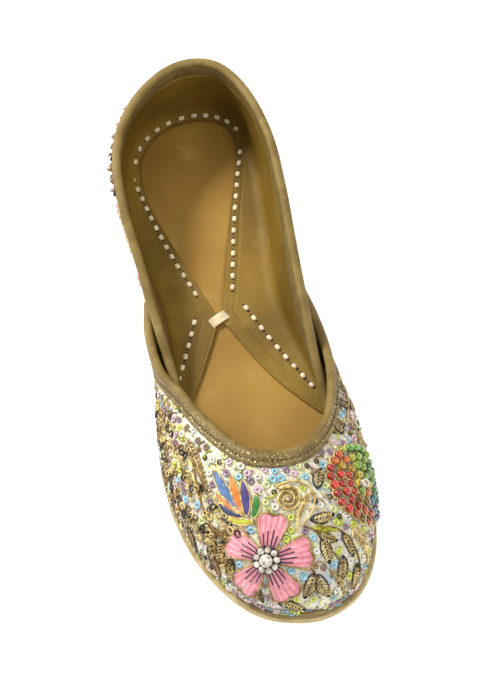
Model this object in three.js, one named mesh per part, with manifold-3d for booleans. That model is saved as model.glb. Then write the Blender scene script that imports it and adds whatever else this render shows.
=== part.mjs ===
// Mojari: a flat slip-on shoe, right foot, standing on its sole.
// Millimetres, +Z up. The toe points to -Y, the medial side is +X, and the origin is
// the bottom centre of the bounding box.

import * as THREE from 'three';
import Module from 'manifold-3d';
import { mergeVertices } from 'three/addons/utils/BufferGeometryUtils.js';

const manifold = await Module();
manifold.setup();

// Driving dimensions
const lastLength = 250;
const touchGap = 0.3;
const wallThickness = 1.8;

const soleThickness = 4.0;
const soleOverhang = 2.4;
const soleEdgeRound = 0.7;
const archRise = 1.2;
const archFrom = 78;
const archTo = 124;
const toeSpring = 7.5;
const springFrom = 178;
const springPower = 1.7;

const insoleThickness = 2.4;
const bindingGap = 0.5;
const bindingLeather = 0.7;
const bindingFootClearance = 3.2;
const bindingSoleClearance = 1.0;
const bindingOuterWidth = 5.2;
const bindingInnerWidthVamp = 5.0;
const bindingInnerWidthQuarter = 8.0;
const seamBandHeight = 2.0;

// The feather line, where the outside of the upper meets the sole. A row per station,
// from the heel round the lateral side, the toe and the medial side. x is medial,
// fromHeel runs to the toe, and inset is how far in the edge of the insole lies.
const featherLine = [
  { x: 3.0, fromHeel: 3.0, inset: 2.6 },
  { x: -12.5, fromHeel: 6.5, inset: 2.6 },
  { x: -24.5, fromHeel: 17.0, inset: 2.6 },
  { x: -30.5, fromHeel: 36.0, inset: 2.6 },
  { x: -32.0, fromHeel: 62.0, inset: 2.8 },
  { x: -31.2, fromHeel: 90.0, inset: 4.6 },
  { x: -31.2, fromHeel: 117.0, inset: 7.6 },
  { x: -35.0, fromHeel: 143.0, inset: 9.6 },
  { x: -38.2, fromHeel: 167.0, inset: 8.6 },
  { x: -37.6, fromHeel: 190.0, inset: 2.8 },
  { x: -33.0, fromHeel: 211.0, inset: 2.6 },
  { x: -23.5, fromHeel: 230.0, inset: 2.6 },
  { x: -11.0, fromHeel: 243.5, inset: 2.6 },
  { x: 6.0, fromHeel: 249.5, inset: 2.6 },
  { x: 21.5, fromHeel: 246.0, inset: 2.6 },
  { x: 32.3, fromHeel: 234.0, inset: 2.6 },
  { x: 38.3, fromHeel: 215.5, inset: 2.6 },
  { x: 41.2, fromHeel: 193.0, inset: 5.2 },
  { x: 41.5, fromHeel: 170.0, inset: 9.6 },
  { x: 37.5, fromHeel: 145.0, inset: 8.8 },
  { x: 31.0, fromHeel: 119.0, inset: 7.6 },
  { x: 27.5, fromHeel: 92.0, inset: 5.2 },
  { x: 28.0, fromHeel: 64.0, inset: 2.8 },
  { x: 29.5, fromHeel: 38.0, inset: 2.6 },
  { x: 26.0, fromHeel: 18.0, inset: 2.6 },
  { x: 16.5, fromHeel: 7.0, inset: 2.6 },
];
const stationCount = featherLine.length;
const toeStation = 13;

// Vamp, from the lateral wing round the toe to the medial wing. station is a place on
// the feather line, x, fromHeel and height are the throat edge above it, swell and rise
// lift the wall off the sole, crown and fall bring it over to the throat.
const vampRows = [
  { station: 5.3, x: -33.0, fromHeel: 97.0, height: 9.4, inset: 0, swell: 1.0, rise: 2, crown: 0.3, fall: 2 },
  { station: 6, x: -35.2, fromHeel: 115.0, height: 15.0, inset: 0, swell: 2.0, rise: 4, crown: 0.3, fall: 4 },
  { station: 7, x: -33.6, fromHeel: 136.0, height: 21.5, inset: 0, swell: 3.0, rise: 8, crown: 0.3, fall: 6 },
  { station: 8, x: -26.5, fromHeel: 151.0, height: 28.0, inset: 0, swell: 4.5, rise: 14, crown: 0.45, fall: 6 },
  { station: 9, x: -20.5, fromHeel: 165.5, height: 34.0, inset: 0, swell: 5.0, rise: 18, crown: 0.5, fall: 4 },
  { station: 10, x: -14.5, fromHeel: 177.0, height: 38.5, inset: 0, swell: 5.0, rise: 20, crown: 0.5, fall: 3 },
  { station: 11, x: -9.0, fromHeel: 185.0, height: 41.0, inset: 0, swell: 4.0, rise: 21, crown: 0.5, fall: 2.5 },
  { station: 12, x: -3.5, fromHeel: 189.5, height: 42.0, inset: 0, swell: 2.5, rise: 21, crown: 0.5, fall: 2 },
  { station: 13, x: 2.0, fromHeel: 191.5, height: 42.0, inset: 0, swell: 1.0, rise: 20, crown: 0.5, fall: 2 },
  { station: 14, x: 7.5, fromHeel: 192.2, height: 41.0, inset: 0, swell: 2.0, rise: 20, crown: 0.5, fall: 2 },
  { station: 15, x: 13.5, fromHeel: 191.6, height: 39.5, inset: 0, swell: 3.5, rise: 19, crown: 0.5, fall: 2.5 },
  { station: 16, x: 20.5, fromHeel: 188.3, height: 37.0, inset: 0, swell: 4.0, rise: 18, crown: 0.5, fall: 3 },
  { station: 17, x: 27.5, fromHeel: 181.0, height: 33.5, inset: 0, swell: 4.0, rise: 16, crown: 0.5, fall: 4 },
  { station: 18, x: 33.5, fromHeel: 168.0, height: 28.0, inset: 0, swell: 3.5, rise: 13, crown: 0.45, fall: 5 },
  { station: 19, x: 37.6, fromHeel: 148.0, height: 20.5, inset: 0, swell: 3.0, rise: 8, crown: 0.3, fall: 5 },
  { station: 20, x: 36.6, fromHeel: 122.0, height: 14.0, inset: 0, swell: 2.0, rise: 4, crown: 0.3, fall: 4 },
  { station: 20.8, x: 32.2, fromHeel: 97.0, height: 9.4, inset: 0, swell: 1.0, rise: 2, crown: 0.3, fall: 2 },
];

// Quarter, from its medial front end round the heel to its lateral front end, both ends
// inside the vamp. The columns are the same, and inset brings its foot in off the
// feather line so that it stands inside the vamp's wings.
const quarterRows = [
  { station: 18.1, x: 33.5, fromHeel: 167.0, height: 12.0, inset: 5.6, swell: 0.0, rise: 2.5, crown: 0.2, fall: 2.5 },
  { station: 19, x: 32.3, fromHeel: 147.0, height: 19.5, inset: 5.2, swell: 0.5, rise: 4, crown: 0.2, fall: 5 },
  { station: 20, x: 32.6, fromHeel: 124.0, height: 27.5, inset: 4.6, swell: 1.0, rise: 8, crown: 0.2, fall: 8 },
  { station: 20.6, x: 32.9, fromHeel: 110.0, height: 31.5, inset: 3.9, swell: 1.5, rise: 9, crown: 0.2, fall: 9 },
  { station: 21.3, x: 33.6, fromHeel: 92.0, height: 36.5, inset: 1.2, swell: 2.5, rise: 11, crown: 0.2, fall: 11 },
  { station: 22, x: 34.4, fromHeel: 73.0, height: 40.5, inset: 0, swell: 3.0, rise: 12, crown: 0.2, fall: 12 },
  { station: 23, x: 34.0, fromHeel: 47.0, height: 44.0, inset: 0, swell: 3.0, rise: 13, crown: 0.2, fall: 12 },
  { station: 24, x: 28.6, fromHeel: 24.0, height: 45.8, inset: 0, swell: 3.5, rise: 14, crown: 0.1, fall: 12 },
  { station: 25, x: 19.0, fromHeel: 8.5, height: 46.8, inset: 0, swell: 4.0, rise: 15, crown: 0, fall: 12 },
  { station: 26, x: 5.0, fromHeel: 4.0, height: 47.2, inset: 0, swell: 4.0, rise: 15, crown: 0, fall: 12 },
  { station: 27, x: -9.5, fromHeel: 8.5, height: 46.7, inset: 0, swell: 5.5, rise: 15, crown: 0, fall: 12 },
  { station: 28, x: -24.0, fromHeel: 21.5, height: 45.3, inset: 0, swell: 7.5, rise: 14, crown: 0.1, fall: 12 },
  { station: 29, x: -33.0, fromHeel: 41.0, height: 43.0, inset: 0, swell: 7.5, rise: 13, crown: 0.2, fall: 12 },
  { station: 30, x: -34.6, fromHeel: 66.0, height: 38.5, inset: 0, swell: 6.0, rise: 12, crown: 0.2, fall: 12 },
  { station: 30.8, x: -33.0, fromHeel: 86.0, height: 32.8, inset: 1.2, swell: 3.5, rise: 10, crown: 0.2, fall: 10 },
  { station: 31.5, x: -31.8, fromHeel: 102.0, height: 27.8, inset: 3.9, swell: 2.0, rise: 8, crown: 0.2, fall: 8 },
  { station: 32, x: -30.8, fromHeel: 114.0, height: 24.0, inset: 4.6, swell: 1.5, rise: 7, crown: 0.2, fall: 7 },
  { station: 33, x: -28.6, fromHeel: 138.0, height: 15.5, inset: 5.2, swell: 0.5, rise: 4, crown: 0.2, fall: 4 },
  { station: 33.35, x: -29.3, fromHeel: 147.0, height: 12.0, inset: 5.6, swell: 0.0, rise: 2.5, crown: 0.2, fall: 2.5 },
];

// How finely each form is faceted
const vampSteps = 54;
const vampRises = 11;
const quarterSteps = 42;
const quarterRises = 6;
const soleHalfSteps = 38;
const soleAcross = 4;

// Cubic interpolation of every column of a table at one value of its key column.
function columnsAt(rows, key, value) {
  let upper = 1;
  while (upper < rows.length - 1 && rows[upper][key] < value) upper += 1;
  const lower = upper - 1;
  const start = rows[lower];
  const finish = rows[upper];
  const before = rows[Math.max(lower - 1, 0)];
  const after = rows[Math.min(upper + 1, rows.length - 1)];
  const span = finish[key] - start[key];
  const t = (value - start[key]) / span;
  const result = {};
  for (const column of Object.keys(start)) {
    const slopeIn = ((finish[column] - before[column]) / (finish[key] - before[key])) * span;
    const slopeOut = ((after[column] - start[column]) / (after[key] - start[key])) * span;
    const bend = 2 * (start[column] - finish[column]) + slopeIn + slopeOut;
    const lean = 3 * (finish[column] - start[column]) - 2 * slopeIn - slopeOut;
    result[column] = ((bend * t + lean) * t + slopeIn) * t + start[column];
  }
  return result;
}

// One lap of the feather line with a few stations more at each end, so that the
// interpolation runs on through the heel.
const featherLaps = [];
for (let step = -3; step <= stationCount + 11; step += 1) {
  const row = featherLine[(step + stationCount) % stationCount];
  featherLaps.push({ station: step, ...row });
}

function featherAt(station) {
  return columnsAt(featherLaps, 'station', station);
}

// Outward direction of the feather line, in plan.
function outwardAt(station) {
  const reach = 0.05;
  const before = featherAt(station - reach);
  const after = featherAt(station + reach);
  const alongX = after.x - before.x;
  const alongY = before.fromHeel - after.fromHeel;
  return new THREE.Vector3(alongY, -alongX, 0).normalize();
}

// Height of the underside of the sole: flat at heel and forefoot, arched between them,
// sprung at the toe.
function undersideAt(fromHeel) {
  const arch = THREE.MathUtils.clamp((fromHeel - archFrom) / (archTo - archFrom), 0, 1);
  const spring = THREE.MathUtils.clamp((fromHeel - springFrom) / (lastLength - springFrom), 0, 1);
  return archRise * Math.sin(Math.PI * arch) ** 2 + toeSpring * spring ** springPower;
}

function yAt(fromHeel) {
  return lastLength / 2 - fromHeel;
}

// A point of the feather line moved in by inset, at a height above the underside.
function footPoint(station, inset, lift) {
  const feather = featherAt(station);
  const point = new THREE.Vector3(feather.x, yAt(feather.fromHeel), 0);
  point.addScaledVector(outwardAt(station), -inset);
  point.z = undersideAt(lastLength / 2 - point.y) + lift;
  return point;
}

// The wall of the upper as a curve from the sole to the top edge, at one station.
function wallCurve(rows, station) {
  const row = columnsAt(rows, 'station', station);
  const foot = footPoint(station, row.inset, soleThickness + touchGap);
  const top = new THREE.Vector3(row.x, yAt(row.fromHeel), row.height);
  const lowHandle = foot.clone().addScaledVector(outwardAt(station), row.swell);
  lowHandle.z += row.rise;
  const highHandle = top.clone();
  highHandle.x += (foot.x - top.x) * row.crown;
  highHandle.y += (foot.y - top.y) * row.crown;
  highHandle.z -= row.fall;
  return new THREE.CubicBezierCurve3(foot, lowHandle, highHandle, top);
}

// A point of the wall's outside. above counts millimetres up from the top edge, and
// negative values run down the wall.
function wallPoint(rows, station, rise) {
  const curve = wallCurve(rows, station);
  if (rise <= 1) return curve.getPoint(rise);
  const top = curve.getPoint(1);
  return top.addScaledVector(curve.getTangent(1), (rise - 1) * curve.getLength());
}

function wallNormal(rows, station, rise) {
  const first = rows[0].station;
  const last = rows[rows.length - 1].station;
  const reach = 0.05;
  const low = Math.max(station - reach, first);
  const high = Math.min(station + reach, last);
  const foot = Math.max(rise - reach, 0);
  const along = wallPoint(rows, high, rise).sub(wallPoint(rows, low, rise));
  const up = wallPoint(rows, station, foot + 2 * reach).sub(wallPoint(rows, station, foot));
  return along.cross(up).normalize();
}

// A closed solid along the wall. outer and inner are matching lists of rise and depth,
// where depth is measured inwards from the wall's outside.
function strip(rows, steps, trim, profile) {
  const first = rows[0].station + trim;
  const last = rows[rows.length - 1].station - trim;
  const rings = [];
  for (let step = 0; step <= steps; step += 1) {
    const station = THREE.MathUtils.lerp(first, last, step / steps);
    const wallLength = wallCurve(rows, station).getLength();
    const { outer, inner } = profile(wallLength);
    const place = ({ rise, depth }) => {
      const point = wallPoint(rows, station, rise);
      return point.addScaledVector(wallNormal(rows, station, Math.min(rise, 1)), -depth);
    };
    rings.push({ outer: outer.map(place), inner: inner.map(place) });
  }
  return closedStrip(rings);
}

function closedStrip(rings) {
  const positions = [];
  const quad = (a, b, c, d) => {
    for (const point of [a, b, c, a, c, d]) positions.push(point.x, point.y, point.z);
  };
  const count = rings[0].outer.length;
  for (let step = 0; step + 1 < rings.length; step += 1) {
    const here = rings[step];
    const next = rings[step + 1];
    for (let level = 0; level + 1 < count; level += 1) {
      quad(here.outer[level], next.outer[level], next.outer[level + 1], here.outer[level + 1]);
      quad(here.inner[level], here.inner[level + 1], next.inner[level + 1], next.inner[level]);
    }
    const top = count - 1;
    quad(here.outer[top], next.outer[top], next.inner[top], here.inner[top]);
    quad(here.outer[0], here.inner[0], next.inner[0], next.outer[0]);
  }
  const start = rings[0];
  const finish = rings[rings.length - 1];
  for (let level = 0; level + 1 < count; level += 1) {
    quad(start.outer[level], start.outer[level + 1], start.inner[level + 1], start.inner[level]);
    quad(finish.outer[level], finish.inner[level], finish.inner[level + 1], finish.outer[level + 1]);
  }
  return solidFrom(positions);
}

function solidFrom(positions) {
  const geometry = new THREE.BufferGeometry();
  geometry.setAttribute('position', new THREE.Float32BufferAttribute(positions, 3));
  const merged = mergeVertices(geometry, 1e-3);
  const mesh = new manifold.Mesh({
    numProp: 3,
    vertProperties: new Float32Array(merged.attributes.position.array),
    triVerts: new Uint32Array(merged.index.array),
  });
  return new manifold.Manifold(mesh);
}

// The wall itself, of even thickness from the sole to the top edge.
function wallStrip(rows, steps, rises) {
  return strip(rows, steps, 0, () => {
    const levels = Array.from({ length: rises + 1 }, (_, level) => level / rises);
    return {
      outer: levels.map((rise) => ({ rise, depth: 0 })),
      inner: levels.map((rise) => ({ rise, depth: wallThickness })),
    };
  });
}

// The seam band that joins the quarter's foot to the inside of a wing of the vamp.
function seamBand(fromStation, toStation) {
  const steps = 12;
  const rings = [];
  for (let step = 0; step <= steps; step += 1) {
    const station = THREE.MathUtils.lerp(fromStation, toStation, step / steps);
    const lift = soleThickness + touchGap;
    const outerInset = wallThickness * 0.5;
    const innerInset = quarterInsetAt(station) + wallThickness * 0.5;
    rings.push({
      outer: [footPoint(station, outerInset, lift), footPoint(station, outerInset, lift + seamBandHeight)],
      inner: [footPoint(station, innerInset, lift), footPoint(station, innerInset, lift + seamBandHeight)],
    });
  }
  return closedStrip(rings);
}

function quarterInsetAt(station) {
  const lap = station < quarterRows[0].station ? station + stationCount : station;
  return columnsAt(quarterRows, 'station', lap).inset;
}

// A folded strip over a top edge: a larger form of the wall with a smaller one cut out.
function binding(rows, steps, innerWidth, outerClearance) {
  const proud = bindingGap + bindingLeather;
  const larger = strip(rows, steps, 0, (wallLength) => {
    const rounding = bindingLeather * 0.8;
    const outerLeg = Math.min(bindingOuterWidth, wallLength - outerClearance);
    const innerLeg = Math.min(innerWidth, wallLength - bindingFootClearance);
    const outerLevels = [-outerLeg, -outerLeg / 2, proud - rounding];
    const innerLevels = [-innerLeg, -innerLeg / 2, proud - rounding];
    const outer = outerLevels.map((above) => ({ rise: 1 + above / wallLength, depth: -proud }));
    const inner = innerLevels.map((above) => ({ rise: 1 + above / wallLength, depth: wallThickness + proud }));
    outer.push({ rise: 1 + proud / wallLength, depth: -proud + rounding });
    inner.push({ rise: 1 + proud / wallLength, depth: wallThickness + proud - rounding });
    return { outer, inner };
  });
  const smaller = strip(rows, steps, -0.04, (wallLength) => {
    const reach = Math.min(Math.max(bindingOuterWidth, innerWidth) + 1.2, wallLength - 0.1);
    const levels = [-reach, -reach / 2, bindingGap];
    return {
      outer: levels.map((above) => ({ rise: 1 + above / wallLength, depth: -bindingGap })),
      inner: levels.map((above) => ({ rise: 1 + above / wallLength, depth: wallThickness + bindingGap })),
    };
  });
  return larger.subtract(smaller);
}

// A slab that fills the feather line, bent with the sole. Each level is a ring of the
// edge: lift above the underside and inset from the feather line.
function slab(levels, insetAt) {
  const positions = [];
  const triangle = (a, b, c) => {
    for (const point of [a, b, c]) positions.push(point.x, point.y, point.z);
  };
  const quad = (a, b, c, d) => {
    triangle(a, b, c);
    triangle(a, c, d);
  };
  const halfLap = stationCount / 2;
  const edge = (step, side, level) => {
    const station = toeStation + side * halfLap * (step / soleHalfSteps);
    return footPoint(station, insetAt(station) + level.inset, level.lift);
  };
  const across = (step, part, level) => {
    const lateral = edge(step, -1, level);
    const medial = edge(step, 1, level);
    const point = lateral.lerp(medial, part / soleAcross);
    point.z = undersideAt(lastLength / 2 - point.y) + level.lift;
    return point;
  };
  const bottom = levels[0];
  const top = levels[levels.length - 1];
  for (let step = 0; step < soleHalfSteps; step += 1) {
    for (let part = 0; part < soleAcross; part += 1) {
      const corners = (level) => [
        across(step, part, level),
        across(step, part + 1, level),
        across(step + 1, part + 1, level),
        across(step + 1, part, level),
      ];
      const [a, b, c, d] = corners(top);
      const [e, f, g, h] = corners(bottom);
      if (step === 0) {
        triangle(a, c, d);
        triangle(e, h, g);
      } else if (step === soleHalfSteps - 1) {
        triangle(a, b, c);
        triangle(e, g, f);
      } else {
        quad(a, b, c, d);
        quad(e, h, g, f);
      }
    }
    for (let ring = 0; ring + 1 < levels.length; ring += 1) {
      const low = levels[ring];
      const high = levels[ring + 1];
      quad(edge(step, 1, low), edge(step + 1, 1, low), edge(step + 1, 1, high), edge(step, 1, high));
      quad(edge(step, -1, low), edge(step, -1, high), edge(step + 1, -1, high), edge(step + 1, -1, low));
    }
  }
  return solidFrom(positions);
}

function makeOutsole() {
  const levels = [
    { lift: 0, inset: soleEdgeRound },
    { lift: soleEdgeRound, inset: 0 },
    { lift: soleThickness - soleEdgeRound, inset: 0 },
    { lift: soleThickness, inset: soleEdgeRound },
  ];
  return slab(levels, () => -soleOverhang);
}

function makeInsole() {
  const lift = soleThickness + touchGap;
  const levels = [
    { lift, inset: 0 },
    { lift: lift + insoleThickness, inset: 0.2 },
  ];
  return slab(levels, (station) => featherAt(station).inset);
}

function makeUpper() {
  const vamp = wallStrip(vampRows, vampSteps, vampRises);
  const quarter = wallStrip(quarterRows, quarterSteps, quarterRises);
  const lateralSeam = seamBand(5.5, 7.25);
  const medialSeam = seamBand(18.2, 20.55);
  return vamp.add(quarter).add(lateralSeam).add(medialSeam);
}

function addPiece(group, name, solid, look) {
  const cut = solid.getMesh();
  const geometry = new THREE.BufferGeometry();
  geometry.setAttribute('position', new THREE.BufferAttribute(new Float32Array(cut.vertProperties), 3));
  geometry.setIndex(new THREE.BufferAttribute(new Uint32Array(cut.triVerts), 1));
  geometry.computeVertexNormals();
  const mesh = new THREE.Mesh(geometry, new THREE.MeshStandardMaterial(look));
  mesh.name = name;
  group.add(mesh);
}

const shoe = new THREE.Group();
addPiece(shoe, 'outsole', makeOutsole(), { color: 0xb79d6d, roughness: 0.7, metalness: 0 });
addPiece(shoe, 'insole', makeInsole(), { color: 0xab8745, roughness: 0.55, metalness: 0 });
addPiece(shoe, 'upper', makeUpper(), { color: 0xe6e0cf, roughness: 0.6, metalness: 0 });
addPiece(shoe, 'vamp_binding', binding(vampRows, vampSteps, bindingInnerWidthVamp, bindingSoleClearance), {
  color: 0x8a7448,
  roughness: 0.5,
  metalness: 0.1,
});
addPiece(shoe, 'quarter_binding', binding(quarterRows, quarterSteps, bindingInnerWidthQuarter, bindingFootClearance), {
  color: 0x8a7448,
  roughness: 0.5,
  metalness: 0.1,
});

const bounds = new THREE.Box3().setFromObject(shoe);
const middle = bounds.getCenter(new THREE.Vector3());
shoe.position.set(-middle.x, -middle.y, -bounds.min.z);

export default shoe;
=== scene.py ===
"""Looks of a mojari: a flat, embroidered slip-on shoe for the right foot.

Lengths are millimetres until a mesh is made. The toe points to -Y, +X is the medial side.
"""

import logging
import math
from collections.abc import Iterator
from dataclasses import dataclass, field
from enum import Enum

import bmesh
import bpy
import numpy as np
from mathutils import Matrix, Vector, noise
from mathutils.bvhtree import BVHTree
from mathutils.kdtree import KDTree


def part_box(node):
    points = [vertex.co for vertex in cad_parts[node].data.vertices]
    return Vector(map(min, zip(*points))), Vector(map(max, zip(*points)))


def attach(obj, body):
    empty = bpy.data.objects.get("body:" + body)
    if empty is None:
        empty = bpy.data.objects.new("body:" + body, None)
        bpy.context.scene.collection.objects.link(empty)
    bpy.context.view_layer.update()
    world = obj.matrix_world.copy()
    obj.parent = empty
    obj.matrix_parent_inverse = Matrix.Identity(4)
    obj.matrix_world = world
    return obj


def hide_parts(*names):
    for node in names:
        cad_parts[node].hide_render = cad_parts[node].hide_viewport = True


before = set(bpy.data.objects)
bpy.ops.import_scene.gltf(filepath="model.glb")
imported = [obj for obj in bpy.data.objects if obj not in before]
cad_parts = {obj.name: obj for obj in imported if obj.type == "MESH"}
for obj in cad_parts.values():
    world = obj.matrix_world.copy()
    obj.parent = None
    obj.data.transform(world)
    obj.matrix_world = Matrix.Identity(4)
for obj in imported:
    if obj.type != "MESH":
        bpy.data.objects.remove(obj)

LOG = logging.getLogger("mojari")
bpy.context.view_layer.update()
MM = 0.001

Colour = tuple[float, float, float]
Points = np.ndarray
Place = tuple[float, float, float]
Wires = dict[str | int, object]


# --------------------------------------------------------------------------- shape of the last

OVERHANG = 2.4
FEATHER_COLUMNS = ("x", "from_heel", "inset")
FEATHER_LINE = (
    (3.0, 3.0, 2.6),
    (-12.5, 6.5, 2.6),
    (-24.5, 17.0, 2.6),
    (-30.5, 36.0, 2.6),
    (-32.0, 62.0, 2.8),
    (-31.2, 90.0, 4.6),
    (-31.2, 117.0, 7.6),
    (-35.0, 143.0, 9.6),
    (-38.2, 167.0, 8.6),
    (-37.6, 190.0, 2.8),
    (-33.0, 211.0, 2.6),
    (-23.5, 230.0, 2.6),
    (-11.0, 243.5, 2.6),
    (6.0, 249.5, 2.6),
    (21.5, 246.0, 2.6),
    (32.3, 234.0, 2.6),
    (38.3, 215.5, 2.6),
    (41.2, 193.0, 5.2),
    (41.5, 170.0, 9.6),
    (37.5, 145.0, 8.8),
    (31.0, 119.0, 7.6),
    (27.5, 92.0, 5.2),
    (28.0, 64.0, 2.8),
    (29.5, 38.0, 2.6),
    (26.0, 18.0, 2.6),
    (16.5, 7.0, 2.6),
)

WALL_COLUMNS = ("station", "x", "from_heel", "height", "inset", "swell", "rise", "crown", "fall")
VAMP_ROWS = (
    (5.3, -33.0, 97.0, 9.4, 0, 1.0, 2, 0.3, 2),
    (6, -35.2, 115.0, 15.0, 0, 2.0, 4, 0.3, 4),
    (7, -33.6, 136.0, 21.5, 0, 3.0, 8, 0.3, 6),
    (8, -26.5, 151.0, 28.0, 0, 4.5, 14, 0.45, 6),
    (9, -20.5, 165.5, 34.0, 0, 5.0, 18, 0.5, 4),
    (10, -14.5, 177.0, 38.5, 0, 5.0, 20, 0.5, 3),
    (11, -9.0, 185.0, 41.0, 0, 4.0, 21, 0.5, 2.5),
    (12, -3.5, 189.5, 42.0, 0, 2.5, 21, 0.5, 2),
    (13, 2.0, 191.5, 42.0, 0, 1.0, 20, 0.5, 2),
    (14, 7.5, 192.2, 41.0, 0, 2.0, 20, 0.5, 2),
    (15, 13.5, 191.6, 39.5, 0, 3.5, 19, 0.5, 2.5),
    (16, 20.5, 188.3, 37.0, 0, 4.0, 18, 0.5, 3),
    (17, 27.5, 181.0, 33.5, 0, 4.0, 16, 0.5, 4),
    (18, 33.5, 168.0, 28.0, 0, 3.5, 13, 0.45, 5),
    (19, 37.6, 148.0, 20.5, 0, 3.0, 8, 0.3, 5),
    (20, 36.6, 122.0, 14.0, 0, 2.0, 4, 0.3, 4),
    (20.8, 32.2, 97.0, 9.4, 0, 1.0, 2, 0.3, 2),
)
QUARTER_ROWS = (
    (18.1, 33.5, 167.0, 12.0, 5.6, 0.0, 2.5, 0.2, 2.5),
    (19, 32.3, 147.0, 19.5, 5.2, 0.5, 4, 0.2, 5),
    (20, 32.6, 124.0, 27.5, 4.6, 1.0, 8, 0.2, 8),
    (20.6, 32.9, 110.0, 31.5, 3.9, 1.5, 9, 0.2, 9),
    (21.3, 33.6, 92.0, 36.5, 1.2, 2.5, 11, 0.2, 11),
    (22, 34.4, 73.0, 40.5, 0, 3.0, 12, 0.2, 12),
    (23, 34.0, 47.0, 44.0, 0, 3.0, 13, 0.2, 12),
    (24, 28.6, 24.0, 45.8, 0, 3.5, 14, 0.1, 12),
    (25, 19.0, 8.5, 46.8, 0, 4.0, 15, 0, 12),
    (26, 5.0, 4.0, 47.2, 0, 4.0, 15, 0, 12),
    (27, -9.5, 8.5, 46.7, 0, 5.5, 15, 0, 12),
    (28, -24.0, 21.5, 45.3, 0, 7.5, 14, 0.1, 12),
    (29, -33.0, 41.0, 43.0, 0, 7.5, 13, 0.2, 12),
    (30, -34.6, 66.0, 38.5, 0, 6.0, 12, 0.2, 12),
    (30.8, -33.0, 86.0, 32.8, 1.2, 3.5, 10, 0.2, 10),
    (31.5, -31.8, 102.0, 27.8, 3.9, 2.0, 8, 0.2, 8),
    (32, -30.8, 114.0, 24.0, 4.6, 1.5, 7, 0.2, 7),
    (33, -28.6, 138.0, 15.5, 5.2, 0.5, 4, 0.2, 4),
    (33.35, -29.3, 147.0, 12.0, 5.6, 0.0, 2.5, 0.2, 2.5),
)


def unit(vector: Points) -> Points:
    """The same direction with a length of 1."""
    return vector / np.linalg.norm(vector, axis=-1, keepdims=True)


def circle(angle: Points) -> Points:
    """Places on a circle of radius 1, in plan."""
    return np.stack([np.cos(angle), np.sin(angle)], -1)


def turned(angle: float) -> Points:
    """The matrix that turns drawn places by an angle."""
    return np.array([[math.cos(angle), math.sin(angle)], [-math.sin(angle), math.cos(angle)]])


def running_length(points: Points) -> Points:
    """Length along a line of points up to each of them."""
    return np.cumsum(np.r_[0, np.linalg.norm(np.diff(points, axis=0), axis=-1)])


def along_bezier(controls: tuple[Points, ...], part: Points | float) -> Points:
    """Points of cubic curves at parts of their run.

    Args:
        controls: The foot, low, high and top points.
        part: Parts of the run, from 0 to 1.

    Returns:
        The points.
    """
    foot, low, high, top = controls
    rest = 1 - part
    return foot * rest**3 + 3 * low * part * rest**2 + 3 * high * part * part * rest + top * part**3


def new_object(name: str, data: bpy.types.ID) -> bpy.types.Object:
    """Adds an object to the scene.

    Args:
        name: Its name.
        data: Its mesh, light or camera.

    Returns:
        The object.
    """
    made = bpy.data.objects.new(name, data)
    bpy.context.scene.collection.objects.link(made)
    return made


class CubicTable:
    """Smooth interpolation of every column of a short table along its first column."""

    def __init__(self, columns: tuple[str, ...], rows: tuple[tuple[float, ...], ...]) -> None:
        """Works out the slope of each column at each row.

        Args:
            columns: Names of the columns, the key column first.
            rows: One row per station.
        """
        data = np.array(rows, float)
        self.key = data[:, 0]
        self.columns = {name: data[:, index] for index, name in enumerate(columns)}
        before = np.r_[0, np.arange(len(data) - 1)]
        after = np.r_[np.arange(1, len(data)), len(data) - 1]
        span = self.key[after] - self.key[before]
        self.slopes = {
            name: (values[after] - values[before]) / span for name, values in self.columns.items()
        }

    def at(self, name: str, where: Points) -> Points:
        """Interpolates one column.

        Args:
            name: Column name.
            where: Values of the key column.

        Returns:
            The column's values there.
        """
        where = np.asarray(where, float)
        low = np.clip(np.searchsorted(self.key, where, side="left") - 1, 0, len(self.key) - 2)
        span = self.key[low + 1] - self.key[low]
        part = (where - self.key[low]) / span
        start, finish = self.columns[name][low], self.columns[name][low + 1]
        leave, arrive = self.slopes[name][low] * span, self.slopes[name][low + 1] * span
        bend = 2 * (start - finish) + leave + arrive
        lean = 3 * (finish - start) - 2 * leave - arrive
        return ((bend * part + lean) * part + leave) * part + start


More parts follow.
